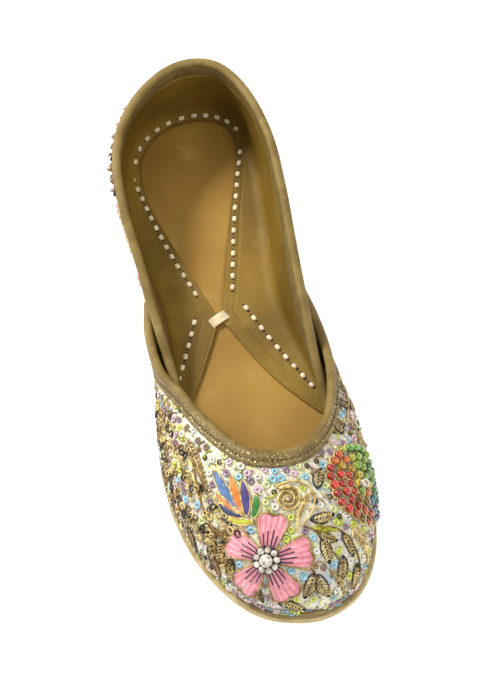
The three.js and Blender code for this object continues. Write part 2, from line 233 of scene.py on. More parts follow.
@dataclass
class Last:
    """The form that the shoe is built on: its feather line and the bend of its sole."""

    length: float = 250.0
    sole: float = 4.0
    gap: float = 0.3
    arch_rise: float = 1.2
    arch_from: float = 78.0
    arch_to: float = 124.0
    spring: float = 7.5
    spring_from: float = 178.0
    spring_power: float = 1.7
    shift: Points = field(default_factory=lambda: np.zeros(3))

    def __post_init__(self) -> None:
        """Lays the feather line out over more than one lap and centres it as the frame is."""
        count = len(FEATHER_LINE)
        laps = tuple((step, *FEATHER_LINE[step % count]) for step in range(-3, count + 12))
        self.feather = CubicTable(("station", *FEATHER_COLUMNS), laps)
        self.laps = count
        rim = self.foot(np.linspace(0, count, 1200), np.full(1200, -OVERHANG), 0.0)
        low, high = (np.array(corner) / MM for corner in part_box("outsole"))
        self.shift = np.append((low + high)[:2] / 2 - (rim.min(0) + rim.max(0))[:2] / 2, 0.0)

    def outward(self, station: Points) -> Points:
        """Outward direction of the feather line, in plan.

        Args:
            station: Places on the feather line.

        Returns:
            Directions of length 1.
        """
        reach = 0.05
        along_x = self.feather.at("x", station + reach) - self.feather.at("x", station - reach)
        heelward, toeward = (self.feather.at("from_heel", station + way) for way in (-reach, reach))
        along_y = heelward - toeward
        return unit(np.stack([along_y, -along_x, np.zeros_like(along_x)], -1))

    def underside(self, from_heel: Points) -> Points:
        """Height of the underside of the sole at a distance from the heel.

        Args:
            from_heel: Distances from the heel.

        Returns:
            Heights above the ground.
        """
        arch = np.clip((from_heel - self.arch_from) / (self.arch_to - self.arch_from), 0, 1)
        spring = np.clip((from_heel - self.spring_from) / (self.length - self.spring_from), 0, None)
        return self.arch_rise * np.sin(np.pi * arch) ** 2 + self.spring * spring**self.spring_power

    def foot(self, station: Points, inset: Points, lift: Points) -> Points:
        """Points of the feather line moved in by inset, lifted above the underside.

        Args:
            station: Places on the feather line.
            inset: Distance inwards.
            lift: Height above the underside of the sole.

        Returns:
            An array of points in the last's own place.
        """
        station = np.asarray(station, float)
        x = self.feather.at("x", station)
        y = self.length / 2 - self.feather.at("from_heel", station)
        points = np.stack([x, y, np.zeros_like(x)], -1)
        points = points - self.outward(station) * np.asarray(inset)[..., None]
        points[..., 2] = self.underside(self.length / 2 - points[..., 1]) + lift
        return points

    def on_floor(self, x: Points, from_heel: Points, lift: Points) -> Points:
        """Points over the sole given by their plan place and height above the underside.

        Args:
            x: Places across the shoe.
            from_heel: Distances from the heel.
            lift: Heights above the underside.

        Returns:
            The points.
        """
        x, from_heel = np.asarray(x, float), np.asarray(from_heel, float)
        z = self.underside(from_heel) + lift
        return np.stack([x, self.length / 2 - from_heel, np.broadcast_to(z, x.shape)], -1)


@dataclass
class Wall:
    """One wall of the upper: a lofted skin from the sole to a top edge."""

    last: Last
    rows: tuple[tuple[float, ...], ...]
    thickness: float = 1.8

    def __post_init__(self) -> None:
        """Reads the wall's table."""
        self.table = CubicTable(WALL_COLUMNS, self.rows)
        self.first = self.rows[0][0]
        self.final = self.rows[-1][0]

    def controls(self, station: Points) -> tuple[Points, Points, Points, Points]:
        """The four control points of the wall's curve at each station.

        Args:
            station: Places along the wall.

        Returns:
            The foot, low, high and top points.
        """
        row = {name: self.table.at(name, station) for name in WALL_COLUMNS[1:]}
        foot = self.last.foot(station, row["inset"], self.last.sole + self.last.gap)
        top = np.stack([row["x"], self.last.length / 2 - row["from_heel"], row["height"]], -1)
        low = foot + self.last.outward(station) * row["swell"][..., None]
        low[..., 2] += row["rise"]
        high = top.copy()
        high[..., :2] += (foot - top)[..., :2] * row["crown"][..., None]
        high[..., 2] -= row["fall"]
        return foot, low, high, top

    def outside(self, station: Points, rise: Points) -> Points:
        """Points of the wall's outside.

        Args:
            station: Places along the wall.
            rise: 0 at the sole and 1 at the top edge, a little more to stand above it.

        Returns:
            An array of points.
        """
        station, rise = np.broadcast_arrays(np.asarray(station, float), np.asarray(rise, float))
        controls = self.controls(station)
        point = along_bezier(controls, np.minimum(rise, 1)[..., None])
        beyond = np.maximum(rise - 1, 0) * self.length(station)
        return point + unit(controls[3] - controls[2]) * beyond[..., None]

    def length(self, station: Points) -> Points:
        """Length of the wall from the sole to its top edge at each station.

        Args:
            station: Places along the wall.

        Returns:
            The lengths.
        """
        controls = self.controls(np.asarray(station, float))
        total, previous = 0.0, controls[0]
        for part in np.linspace(0, 1, 25)[1:]:
            point = along_bezier(controls, part)
            total = total + np.linalg.norm(point - previous, axis=-1)
            previous = point
        return total

    def normal(self, station: Points, rise: Points) -> Points:
        """Outward unit normals of the wall.

        Args:
            station: Places along the wall.
            rise: 0 at the sole and 1 at the top edge.

        Returns:
            Directions of length 1.
        """
        station, rise = np.broadcast_arrays(np.asarray(station, float), np.asarray(rise, float))
        low = np.clip(station - 0.04, self.first, self.final)
        high = np.clip(station + 0.04, self.first, self.final)
        foot = np.clip(rise - 0.03, 0, 0.94)
        along = self.outside(high, np.minimum(rise, 1)) - self.outside(low, np.minimum(rise, 1))
        up = self.outside(station, foot + 0.06) - self.outside(station, foot)
        return unit(np.cross(along, up))

    def at_depth(self, station: Points, rise: Points, depth: Points) -> Points:
        """Points at a depth inwards from the wall's outside; a negative depth stands proud."""
        return self.outside(station, rise) - self.normal(station, rise) * np.asarray(depth)[..., None]


# --------------------------------------------------------------------------- meshes

@dataclass
class MeshSheet:
    """Collects grids of points into one mesh, with a UV map in millimetres and part numbers."""

    last: Last
    points: list[Points] = field(default_factory=list)
    faces: list[tuple[int, ...]] = field(default_factory=list)
    parts: list[int] = field(default_factory=list)
    uvs: list[Points] = field(default_factory=list)
    count: int = 0

    def grid(self, points: Points, part: int = 0, wrap: bool = False) -> Points:
        """Adds a grid of points as quads.

        Args:
            points: Array of rows by columns by three, facing along rows cross columns.
            part: Material part of its faces.
            wrap: Whether the last column joins the first.

        Returns:
            The indices of its points.
        """
        rows, columns = points.shape[:2]
        index = np.arange(rows * columns).reshape(rows, columns) + self.count
        self.points.append(points.reshape(-1, 3))
        self.count += rows * columns
        along = running_length(points[:, columns // 2])
        steps = np.linalg.norm(np.diff(points, axis=1), axis=-1)
        across = np.cumsum(np.c_[np.zeros(rows), steps], axis=1)
        uv = np.stack([np.broadcast_to(along[:, None], across.shape), across], -1)
        self.uvs.append(uv.reshape(-1, 2))
        self.stitch(index, part, wrap)
        return index

    def stitch(self, index: Points, part: int = 0, wrap: bool = False) -> None:
        """Adds quads between points that are already in the mesh.

        Args:
            index: Indices of the points, in rows and columns.
            part: Material part of the faces.
            wrap: Whether the last column joins the first.
        """
        nearby = np.c_[index, index[:, :1]] if wrap else index
        a, b = nearby[:-1, :-1].ravel(), nearby[1:, :-1].ravel()
        c, d = nearby[1:, 1:].ravel(), nearby[:-1, 1:].ravel()
        self.faces += list(zip(a.tolist(), b.tolist(), c.tolist(), d.tolist()))
        self.parts += [part] * len(a)

    def tube(self, rings: Points, part: int = 0, parts: Points | None = None) -> None:
        """Adds a closed tube through rings of points, with both ends capped.

        Args:
            rings: Array of rings by points round each by three.
            part: Material part of its faces.
            parts: A material part for each point round the ring, or none.
        """
        index = self.grid(rings, part, wrap=True)
        if parts is not None:
            faces = (len(rings) - 1) * rings.shape[1]
            self.parts[-faces:] = np.tile(parts, len(rings) - 1).tolist()
        self.faces.append(tuple(index[0].tolist()))
        self.faces.append(tuple(index[-1][::-1].tolist()))
        self.parts += [part, part]

    def piece(self, name: str, materials: list[bpy.types.Material]) -> bpy.types.Object:
        """Makes the mesh and its object.

        Args:
            name: Name of the piece.
            materials: One material for each part number.

        Returns:
            The object, riding on the shoe's one body.
        """
        mesh = bpy.data.meshes.new(name)
        points = (np.concatenate(self.points) + self.last.shift) * MM
        mesh.from_pydata(points.tolist(), [], self.faces)
        layer = mesh.uv_layers.new(name="sheet")
        uv = np.concatenate(self.uvs)
        corners = np.empty(len(mesh.loops), np.int32)
        mesh.loops.foreach_get("vertex_index", corners)
        layer.data.foreach_set("uv", uv[corners].ravel())
        for material in materials:
            mesh.materials.append(material)
        mesh.polygons.foreach_set("material_index", self.parts)
        mesh.polygons.foreach_set("use_smooth", [True] * len(mesh.polygons))
        mesh.validate()
        mesh.update()
        piece = new_object(name, mesh)
        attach(piece, "root")
        return piece


def outward_facing(piece: bpy.types.Object) -> None:
    """Turns a closed mesh's faces outwards.

    Args:
        piece: The object whose mesh is mended.
    """
    work = bmesh.new()
    work.from_mesh(piece.data)
    bmesh.ops.recalc_face_normals(work, faces=work.faces)
    work.to_mesh(piece.data)
    work.free()


def wobble(points: Points, size: float, seed: float) -> Points:
    """Soft noise from -1 to 1 at each point.

    Args:
        points: Array of points.
        size: Width of one soft lump, in millimetres.
        seed: Moves the noise, so that two pieces differ.

    Returns:
        One value per point.
    """
    flat = points.reshape(-1, 3) / size + seed
    values = [noise.noise(Vector(point)) for point in flat.tolist()]
    return np.array(values).reshape(points.shape[:-1])


# --------------------------------------------------------------------------- materials

def shade(code: str) -> tuple[float, float, float, float]:
    """Turns a colour written as six hex digits into the renderer's linear numbers.

    Args:
        code: Colour such as "A98B55".

    Returns:
        Red, green, blue and a full alpha.
    """
    channels = [int(code[start : start + 2], 16) / 255 for start in (0, 2, 4)]
    linear = [c / 12.92 if c <= 0.04045 else ((c + 0.055) / 1.055) ** 2.4 for c in channels]
    return (linear[0], linear[1], linear[2], 1.0)


class NodeBench:
    """Lays out the nodes of one material or one geometry tree."""

    def __init__(self, tree: bpy.types.NodeTree) -> None:
        """Starts from an empty tree."""
        self.tree = tree
        self.tree.nodes.clear()

    def add(self, kind: str, wires: Wires | None = None, **settings: object) -> bpy.types.Node:
        """Adds a node.

        Args:
            kind: Node type.
            wires: Input name or number, with a constant or another node's output.
            settings: The node's own properties.

        Returns:
            The node.
        """
        node = self.tree.nodes.new(kind)
        for name, value in settings.items():
            setattr(node, name, value)
        for key, value in (wires or {}).items():
            if isinstance(value, bpy.types.NodeSocket):
                self.tree.links.new(value, node.inputs[key])
            else:
                node.inputs[key].default_value = value
        return node

    def math(self, operation: str, first: object, second: object = 0.0) -> bpy.types.NodeSocket:
        """Adds a sum of two numbers and gives its output."""
        kind = "ShaderNodeMath"
        return self.add(kind, {0: first, 1: second}, operation=operation).outputs[0]


class FinishBench(NodeBench):
    """Lays out a finish round one principled shader; sizes are millimetres on the piece."""

    def __init__(self, name: str, **constants: object) -> None:
        """Makes the material.

        Args:
            name: Material name.
            constants: Shader inputs that are the same all over, with _ for a space.
        """
        self.material = bpy.data.materials.new(name)
        self.material.use_nodes = True
        super().__init__(self.material.node_tree)
        output = self.add("ShaderNodeOutputMaterial")
        self.shader = self.add("ShaderNodeBsdfPrincipled")
        self.tree.links.new(self.shader.outputs[0], output.inputs[0])
        for name_, value in constants.items():
            self.shader.inputs[name_.replace("_", " ")].default_value = value
        self.place = self.add("ShaderNodeTexCoord").outputs["Object"]

    def noise(self, size: float, detail: float = 3.0, rough: float = 0.55) -> bpy.types.NodeSocket:
        """Soft noise with lumps of that size."""
        wires = {"Vector": self.place, "Scale": 1000 / size, "Detail": detail, "Roughness": rough}
        return self.add("ShaderNodeTexNoise", wires).outputs["Fac"]

    def cells(self, size: float, feature: str = "F1") -> bpy.types.Node:
        """Cells of that size, each with its own random colour."""
        wires = {"Vector": self.place, "Scale": 1000 / size}
        return self.add("ShaderNodeTexVoronoi", wires, feature=feature)

    def ramp(self, amount: object, *stops: tuple[float, tuple[float, ...]]) -> bpy.types.NodeSocket:
        """Colours along a ramp.

        Args:
            amount: Output that drives the ramp.
            stops: Places from 0 to 1 with their colours.

        Returns:
            The ramp's colour output.
        """
        node = self.add("ShaderNodeValToRGB", {"Fac": amount})
        elements = node.color_ramp.elements
        while len(elements) < len(stops):
            elements.new(0.5)
        for element, (place, colour) in zip(elements, stops):
            element.position = place
            element.color = colour
        return node.outputs["Color"]

    def mask(self, amount: object, low: float, high: float) -> bpy.types.NodeSocket:
        """A smooth step from 0 at low to 1 at high."""
        wires = {"Value": amount, "From Min": low, "From Max": high}
        return self.add("ShaderNodeMapRange", wires, interpolation_type="SMOOTHSTEP").outputs[0]

    def blend(self, share: object, under: object, over: object, how: str = "MIX") -> bpy.types.NodeSocket:
        """Mixes two colours."""
        wires = {"Factor": share, 6: under, 7: over}
        return self.add("ShaderNodeMix", wires, data_type="RGBA", blend_type=how).outputs[2]

    def between(self, share: object, low: float, high: float) -> bpy.types.NodeSocket:
        """A number between low and high."""
        return self.add("ShaderNodeMapRange", {"Value": share, "To Min": low, "To Max": high}).outputs[0]

    def bump(
        self, height: object, depth: float, strength: float = 1.0, over: object = None
    ) -> bpy.types.NodeSocket:
        """Raises a surface by a height map.

        Args:
            height: Output that gives the height.
            depth: Depth of the relief in millimetres.
            strength: How strongly it shows.
            over: A normal that it lies on, or none.

        Returns:
            The normal.
        """
        wires = {"Height": height, "Distance": depth * MM, "Strength": strength}
        if over is not None:
            wires["Normal"] = over
        return self.add("ShaderNodeBump", wires).outputs[0]

    def attribute(self, name: str, output: str = "Color") -> bpy.types.NodeSocket:
        """Reads one of the piece's attributes."""
        return self.add("ShaderNodeAttribute", attribute_name=name).outputs[output]

    def finish(self, **wires: object) -> bpy.types.Material:
        """Joins the pattern to the shader.

        Args:
            wires: Shader input names, with _ for a space, and what drives them.

        Returns:
            The material.
        """
        for name, value in wires.items():
            self.tree.links.new(value, self.shader.inputs[name.replace("_", " ")])
        return self.material


@dataclass(frozen=True)
class Leather:
    """Vegetable-tanned leather: fine grain, soft pull-up clouds and rubbed patches."""

    name: str
    colour: str
    dark: str
    rubbed: str
    grain: float = 0.55
    relief: float = 0.07
    roughness: float = 0.5
    cloud: float = 34.0

    def make(self) -> bpy.types.Material:
        """Builds the material.

        Returns:
            The material.
        """
        bench = FinishBench(self.name, Specular_IOR_Level=0.26, Coat_Weight=0.03, Coat_Roughness=0.4)
        clouds = bench.mask(bench.noise(self.cloud, 3), 0.32, 0.7)
        base = bench.blend(clouds, shade(self.dark), shade(self.colour))
        rubs = bench.mask(bench.noise(self.cloud * 0.45, 5, 0.65), 0.53, 0.74)
        base = bench.blend(bench.math("MULTIPLY", rubs, 0.55), base, shade(self.rubbed))
        pores = bench.cells(self.grain, "DISTANCE_TO_EDGE").outputs["Distance"]
        creases = bench.mask(pores, 0.0, 0.12)
        base = bench.blend(bench.between(creases, 0.24, 0.0), base, shade(self.dark))
        fleck = bench.mask(bench.noise(0.9, 4, 0.7), 0.6, 0.76)
        base = bench.blend(bench.math("MULTIPLY", fleck, 0.22), base, shade(self.dark))
        fine = bench.bump(creases, self.relief, 0.45)
        lumps = bench.bump(bench.noise(5.0, 4), 0.5, 0.35, fine)
        rough = bench.between(bench.noise(3.0, 3), self.roughness - 0.09, self.roughness + 0.13)
        return bench.finish(Base_Color=base, Roughness=rough, Normal=lumps)


@dataclass(frozen=True)
class GlitterLeather:
    """Khaki binding leather printed with fine gold flecks."""

    name: str
    colour: str
    dark: str
    gold: str
    fleck: float = 0.4
    share: float = 0.86

    def make(self) -> bpy.types.Material:
        """Builds the material.

        Returns:
            The material.
        """
        bench = FinishBench(self.name, Specular_IOR_Level=0.45)
        cells = bench.cells(self.fleck)
        pick = bench.add("ShaderNodeSeparateColor", {"Color": cells.outputs["Color"]})
        clouds = bench.mask(bench.noise(9.0, 4, 0.6), 0.3, 0.7)
        base = bench.blend(clouds, shade(self.dark), shade(self.colour))
        grit = bench.mask(bench.noise(1.1, 3, 0.7), 0.5, 0.66)
        base = bench.blend(bench.math("MULTIPLY", grit, 0.4), base, shade(self.dark))
        lit = bench.mask(pick.outputs[0], self.share, self.share + 0.04)
        patch = bench.mask(bench.noise(6.0, 2), 0.4, 0.6)
        lit = bench.math("MULTIPLY", lit, bench.between(patch, 0.35, 1.0))
        base = bench.blend(lit, base, shade(self.gold))
        metal = bench.math("MULTIPLY", lit, 0.6)
        rough = bench.between(lit, 0.6, 0.34)
        relief = bench.bump(pick.outputs[1], 0.12, 0.55)
        relief = bench.bump(bench.noise(3.5, 3), 0.3, 0.35, relief)
        return bench.finish(Base_Color=base, Metallic=metal, Roughness=rough, Normal=relief)


@dataclass(frozen=True)
class SoleLeather:
    """Thick sole leather with a burnished, layered edge."""

    name: str = "sole_leather"
    colour: str = "CBB686"
    dark: str = "A8915E"

    def make(self) -> bpy.types.Material:
        """Builds the material.

        Returns:
            The material.
        """
        bench = FinishBench(self.name, Specular_IOR_Level=0.32)
        stretch = bench.add("ShaderNodeMapping", {"Vector": bench.place, "Scale": (1, 1, 9)})
        wires = {"Vector": stretch.outputs[0], "Scale": 90.0, "Detail": 5.0}
        layers = bench.add("ShaderNodeTexNoise", wires).outputs["Fac"]
        base = bench.blend(bench.mask(layers, 0.38, 0.66), shade(self.dark), shade(self.colour))
        scuffs = bench.mask(bench.noise(7.0, 6, 0.7), 0.52, 0.7)
        base = bench.blend(bench.math("MULTIPLY", scuffs, 0.5), base, shade("D8C79C"))
        stain = bench.mask(bench.noise(21.0, 3), 0.6, 0.75)
        base = bench.blend(bench.math("MULTIPLY", stain, 0.35), base, shade(self.dark))
        fibre = bench.bump(layers, 0.35, 0.5)
        fibre = bench.bump(bench.noise(0.7, 4, 0.7), 0.12, 0.5, fibre)
        rough = bench.between(scuffs, 0.62, 0.8)
        return bench.finish(Base_Color=base, Roughness=rough, Normal=fibre)


@dataclass(frozen=True)
class Silk:
    """White silk tissue with a fine weave and a faint shimmer of coloured flecks."""

    name: str = "embroidered_silk"
    colour: str = "EBE0C2"
    warm: str = "D6DA7C"
    cool: str = "B2D2D8"
    thread: float = 0.42

    def make(self) -> bpy.types.Material:
        """Builds the material.

        Returns:
            The material.
        """
        bench = FinishBench(
            self.name, Sheen_Weight=0.35, Sheen_Roughness=0.35, Specular_IOR_Level=0.5
        )
        tints = bench.noise(11.0, 2)
        base = bench.ramp(
            tints,
            (0.3, shade(self.cool)),
            (0.4, shade(self.colour)),
            (0.54, shade(self.colour)),
            (0.63, shade(self.warm)),
        )
        cells = bench.cells(0.7)
        pick = bench.add("ShaderNodeSeparateColor", {"Color": cells.outputs["Color"]})
        fleck = bench.ramp(
            pick.outputs[0],
            (0.0, shade("D7DE8A")),
            (0.3, shade("A9C9D6")),
            (0.55, shade("D9C3D6")),
            (0.8, shade("FFFFFF")),
        )
        base = bench.blend(bench.mask(pick.outputs[1], 0.62, 0.7), base, fleck)
        sheet = bench.add("ShaderNodeUVMap", uv_map="sheet").outputs[0]
        wires = {"Vector": sheet, "Scale": 1.0 / self.thread / 2, "Distortion": 0.6, "Detail": 1.0}
        warp = bench.add("ShaderNodeTexWave", wires, bands_direction="X").outputs["Fac"]
        weft = bench.add("ShaderNodeTexWave", wires, bands_direction="Y").outputs["Fac"]
        weave = bench.math("MULTIPLY", warp, weft)
        base = bench.blend(bench.between(weave, 0.14, 0.0), base, shade("B5AC92"))
        relief = bench.bump(weave, 0.08, 0.5)
        relief = bench.bump(bench.noise(4.0, 3), 0.5, 0.4, relief)
        rough = bench.between(pick.outputs[2], 0.3, 0.55)
        return bench.finish(Base_Color=base, Roughness=rough, Normal=relief)


class Lustre(Enum):
    """How an embroidery thread takes the light."""

    SATIN = "satin"
    METAL = "metal"
    COTTON = "cotton"


@dataclass(frozen=True)
class ThreadFinish:
    """Embroidery thread in the colour that each strand carries."""

    name: str
    lustre: Lustre

    def make(self) -> bpy.types.Material:
        """Builds the material.

        Returns:
            The material.
        """
        metal = self.lustre is Lustre.METAL
        satin = self.lustre is Lustre.SATIN
        bench = FinishBench(
            self.name,
            Metallic=0.22 if metal else 0.0,
            Sheen_Weight=0.0 if metal else 0.5,
            Sheen_Roughness=0.3,
            Specular_IOR_Level=0.6 if satin else 0.4,
            Anisotropic=0.5 if satin else 0.0,
        )
        tint = bench.attribute("tint")
        dark = bench.blend(1.0, tint, shade("B9A98C" if metal else "E6DDDC"), "MULTIPLY")
        base = bench.blend(bench.mask(bench.noise(2.6, 2), 0.38, 0.6), dark, tint)
        fibre = bench.noise(0.28, 3, 0.7)
        base = bench.blend(bench.between(fibre, 0.25, 0.0), base, dark)
        relief = bench.bump(fibre, 0.1, 0.6)
        spans = {"metal": (0.25, 0.42), "satin": (0.36, 0.52), "cotton": (0.6, 0.8)}
        low, high = spans[self.lustre.value]
        rough = bench.between(bench.noise(0.8, 2), low, high)
        return bench.finish(Base_Color=base, Roughness=rough, Normal=relief)


@dataclass(frozen=True)
class SequinFinish:
    """Pearly plastic foil of a ring sequin, in the colour that each one carries."""

    name: str = "sequin_foil"

    def make(self) -> bpy.types.Material:
        """Builds the material.

        Returns:
            The material.
        """
        bench = FinishBench(
            self.name,
            Specular_IOR_Level=0.7,
            Coat_Weight=0.7,
            Coat_Roughness=0.12,
            Metallic=0.12,
            Thin_Film_Thickness=360.0,
        )
        tint = bench.attribute("tint")
        pearl = bench.ramp(
            bench.noise(1.6, 2),
            (0.32, shade("DCEBD6")),
            (0.48, shade("FFFFFF")),
            (0.66, shade("F1DCEB")),
        )
        base = bench.blend(0.7, tint, pearl, "MULTIPLY")
        rough = bench.between(bench.noise(0.9, 2), 0.18, 0.34)
        relief = bench.bump(bench.noise(0.6, 2), 0.05, 0.4)
        return bench.finish(Base_Color=base, Roughness=rough, Normal=relief)


@dataclass(frozen=True)
class GlassFinish:
    """Glossy glass of a bead, in the colour that each one carries."""

    name: str = "bead_glass"
    coat: float = 1.0

    def make(self) -> bpy.types.Material:
        """Builds the material.

        Returns:
            The material.
        """
        bench = FinishBench(
            self.name,
            Specular_IOR_Level=0.6,
            Coat_Weight=self.coat,
            Coat_Roughness=0.04,
        )
        tint = bench.attribute("tint")
        deep = bench.blend(1.0, tint, shade("A89A90"), "MULTIPLY")
        swirl = bench.mask(bench.noise(2.2, 3), 0.36, 0.62)
        base = bench.blend(swirl, deep, tint)
        rough = bench.between(bench.noise(1.0, 2), 0.1, 0.22)
        return bench.finish(Base_Color=base, Roughness=rough)


@dataclass(frozen=True)
class FloorFinish:
    """Smooth pale backdrop paper."""

    name: str = "backdrop_paper"
    colour: str = "F4F4F3"
    glow: float = 0.6

    def make(self) -> bpy.types.Material:
        """Builds the material.

        Returns:
            The material.
        """
        bench = FinishBench(self.name, Specular_IOR_Level=0.1, Emission_Strength=self.glow)
        bench.shader.inputs["Emission Color"].default_value = shade(self.colour)
        base = bench.blend(bench.noise(60.0, 2), shade(self.colour), shade("F7F7F7"))
        return bench.finish(Base_Color=base, Roughness=bench.between(bench.noise(20.0, 2), 0.9, 1.0))


LINING = Leather("lining_leather", "876A22", "6D5216", "97793A", roughness=0.6)
INSOLE = Leather("insole_leather", "A68034", "8E6926", "B59450", roughness=0.55, cloud=46.0)
RIM = Leather("binding_rim_leather", "917A43", "755F2E", "A58D57", grain=0.4, roughness=0.5, cloud=14.0)
BINDING = GlitterLeather("binding_leather", "847143", "69572E", "C9B17A")


# --------------------------------------------------------------------------- repeated work

class Form(Enum):
    """Shape of a small piece that is sewn on many times."""

    RING = "ring"
    BEAD = "bead"
    STITCH = "stitch"


class GeometryBench(NodeBench):
    """Lays out a Geometry Nodes tree with named inputs, and applies it to a mesh."""

    def __init__(self, name: str) -> None:
        """Makes the tree with its geometry input and output and its finish input.

        Args:
            name: Name of the tree.
        """
        self.group = bpy.data.node_groups.new(name, "GeometryNodeTree")
        super().__init__(self.group)
        self.keys: dict[str, str] = {}
        self.socket("Lines", "NodeSocketGeometry")
        self.socket("Finish", "NodeSocketMaterial")
        self.group.interface.new_socket("Work", in_out="OUTPUT", socket_type="NodeSocketGeometry")

    def socket(self, name: str, kind: str = "NodeSocketFloat", default: float | int | None = None) -> None:
        """Adds a named input.

        Args:
            name: Its name.
            kind: Its type.
            default: Its value until one is given.
        """
        made = self.group.interface.new_socket(name, in_out="INPUT", socket_type=kind)
        if default is not None:
            made.default_value = default
        self.keys[name] = made.identifier

    def named(self, name: str, kind: str = "FLOAT") -> bpy.types.NodeSocket:
        """Reads an attribute of the lines or points."""
        node = self.add("GeometryNodeInputNamedAttribute", {"Name": name}, data_type=kind)
        return node.outputs["Attribute"]

    def close(self, geometry: bpy.types.NodeSocket, inputs: bpy.types.Node) -> None:
        """Ends the tree: real faces, smooth shading and the finish.

        Args:
            geometry: What the tree has made.
            inputs: The node of named inputs.
        """
        real = self.add("GeometryNodeRealizeInstances", {0: geometry})
        smooth = self.add("GeometryNodeSetShadeSmooth", {"Geometry": real.outputs[0]})
        wires = {"Geometry": smooth.outputs[0], "Material": inputs.outputs["Finish"]}
        dressed = self.add("GeometryNodeSetMaterial", wires)
        self.add("NodeGroupOutput", {0: dressed.outputs[0]})

    def apply(self, mesh: bpy.types.Mesh, name: str, **values: object) -> bpy.types.Object:
        """Runs the tree on a mesh and keeps the result as a plain mesh.

        Args:
            mesh: The lines or points.
            name: Name of the piece.
            values: Input names and their values.

        Returns:
            The piece.
        """
        draft = new_object(name + "_draft", mesh)
        modifier = draft.modifiers.new("work", "NODES")
        modifier.node_group = self.group
        for key, value in values.items():
            modifier[self.keys[key]] = value
        graph = bpy.context.evaluated_depsgraph_get()
        made = bpy.data.meshes.new_from_object(draft.evaluated_get(graph))
        made.name = name
        bpy.data.objects.remove(draft)
        return new_object(name, made)


class StrandTree(GeometryBench):
    """Turns drawn lines into round strands, smooth or coiled like purl wire."""

    def __init__(self) -> None:
        """Builds the tree."""
        super().__init__("strands")
        self.socket("Step", default=0.0006)
        self.socket("Pitch", default=0.0009)
        self.socket("Sides", "NodeSocketInt", 6)
        given = self.add("NodeGroupInput")
        lines = self.add("GeometryNodeMeshToCurve", {"Mesh": given.outputs["Lines"]})
        wires = {"Curve": lines.outputs[0], "Length": given.outputs["Step"]}
        even = self.add("GeometryNodeResampleCurve", wires, mode="LENGTH")
        length = self.add("GeometryNodeSplineParameter").outputs["Length"]
        turns = self.math("DIVIDE", length, given.outputs["Pitch"])
        wave = self.math("SINE", self.math("MULTIPLY", turns, 2 * math.pi))
        swell = self.math("ADD", self.math("MULTIPLY", wave, self.named("ridge")), 1.0)
        size = self.math("MULTIPLY", swell, self.named("thickness"))
        wires = {"Resolution": given.outputs["Sides"], "Radius": 1.0}
        profile = self.add("GeometryNodeCurvePrimitiveCircle", wires)
        wires = {"Curve": even.outputs[0], "Profile Curve": profile.outputs[0], "Scale": size}
        tube = self.add("GeometryNodeCurveToMesh", {**wires, "Fill Caps": True})
        self.close(tube.outputs[0], given)


class ScatterTree(GeometryBench):
    """Sets one small form at every point, turned and sized as the point says."""

    def __init__(self, form: Form) -> None:
        """Builds the tree for a form.

        Args:
            form: The form.
        """
        super().__init__("scatter_" + form.value)
        self.socket("Radius", default=0.0016)
        self.socket("Hole", default=0.0005)
        given = self.add("NodeGroupInput")
        shapes = {Form.RING: self.ring, Form.BEAD: self.bead, Form.STITCH: self.stitch}
        shape = shapes[form](given)
        turn = self.add("FunctionNodeEulerToRotation", {0: self.named("turn", "FLOAT_VECTOR")})
        wires = {
            "Points": self.add("GeometryNodeMeshToPoints", {"Mesh": given.outputs["Lines"]}).outputs[0],
            "Instance": shape,
            "Rotation": turn.outputs[0],
            "Scale": self.named("size", "FLOAT_VECTOR"),
        }
        placed = self.add("GeometryNodeInstanceOnPoints", wires)
        self.close(placed.outputs[0], given)

    def ring(self, given: bpy.types.Node) -> bpy.types.NodeSocket:
        """A dished ring sequin of few faces.

        Args:
            given: The node of named inputs.

        Returns:
            The ring.
        """
        total = self.math("ADD", given.outputs["Radius"], given.outputs["Hole"])
        gap = self.math("SUBTRACT", given.outputs["Radius"], given.outputs["Hole"])
        middle, half = self.math("MULTIPLY", total, 0.5), self.math("MULTIPLY", gap, 0.5)
        path = self.add("GeometryNodeCurvePrimitiveCircle", {"Resolution": 12, "Radius": middle})
        rim = self.add("GeometryNodeCurvePrimitiveCircle", {"Resolution": 4, "Radius": half})
        wires = {"Curve": path.outputs[0], "Profile Curve": rim.outputs[0]}
        band = self.add("GeometryNodeCurveToMesh", wires)
        flat = self.add("GeometryNodeTransform", {"Geometry": band.outputs[0], "Scale": (1, 1, 0.12)})
        place = self.add("ShaderNodeSeparateXYZ", {0: self.add("GeometryNodeInputPosition").outputs[0]})
        square = [self.math("MULTIPLY", place.outputs[axis], place.outputs[axis]) for axis in (0, 1)]
        dish = self.math("MULTIPLY", self.math("ADD", square[0], square[1]), 90.0)
        lift = self.add("ShaderNodeCombineXYZ", {"Z": dish})
        wires = {"Geometry": flat.outputs[0], "Offset": lift.outputs[0]}
        return self.add("GeometryNodeSetPosition", wires).outputs[0]

    def bead(self, given: bpy.types.Node) -> bpy.types.NodeSocket:
        """A round bead of few faces."""
        wires = {"Radius": given.outputs["Radius"], "Subdivisions": 2}
        return self.add("GeometryNodeMeshIcoSphere", wires).outputs[0]

    def stitch(self, given: bpy.types.Node) -> bpy.types.NodeSocket:
        """A plump, square-ended stitch of unit size, long in X.

        Args:
            given: The node of named inputs.

        Returns:
            The stitch.
        """
        side = self.math("MULTIPLY", given.outputs["Radius"], 2.0)
        size = self.add("ShaderNodeCombineXYZ", {"X": side, "Y": side, "Z": side})
        wires = {"Size": size.outputs[0], "Vertices X": 3, "Vertices Y": 2, "Vertices Z": 2}
        block = self.add("GeometryNodeMeshCube", wires)
        wires = {"Mesh": block.outputs[0], "Level": 1}
        return self.add("GeometryNodeSubdivisionSurface", wires).outputs[0]


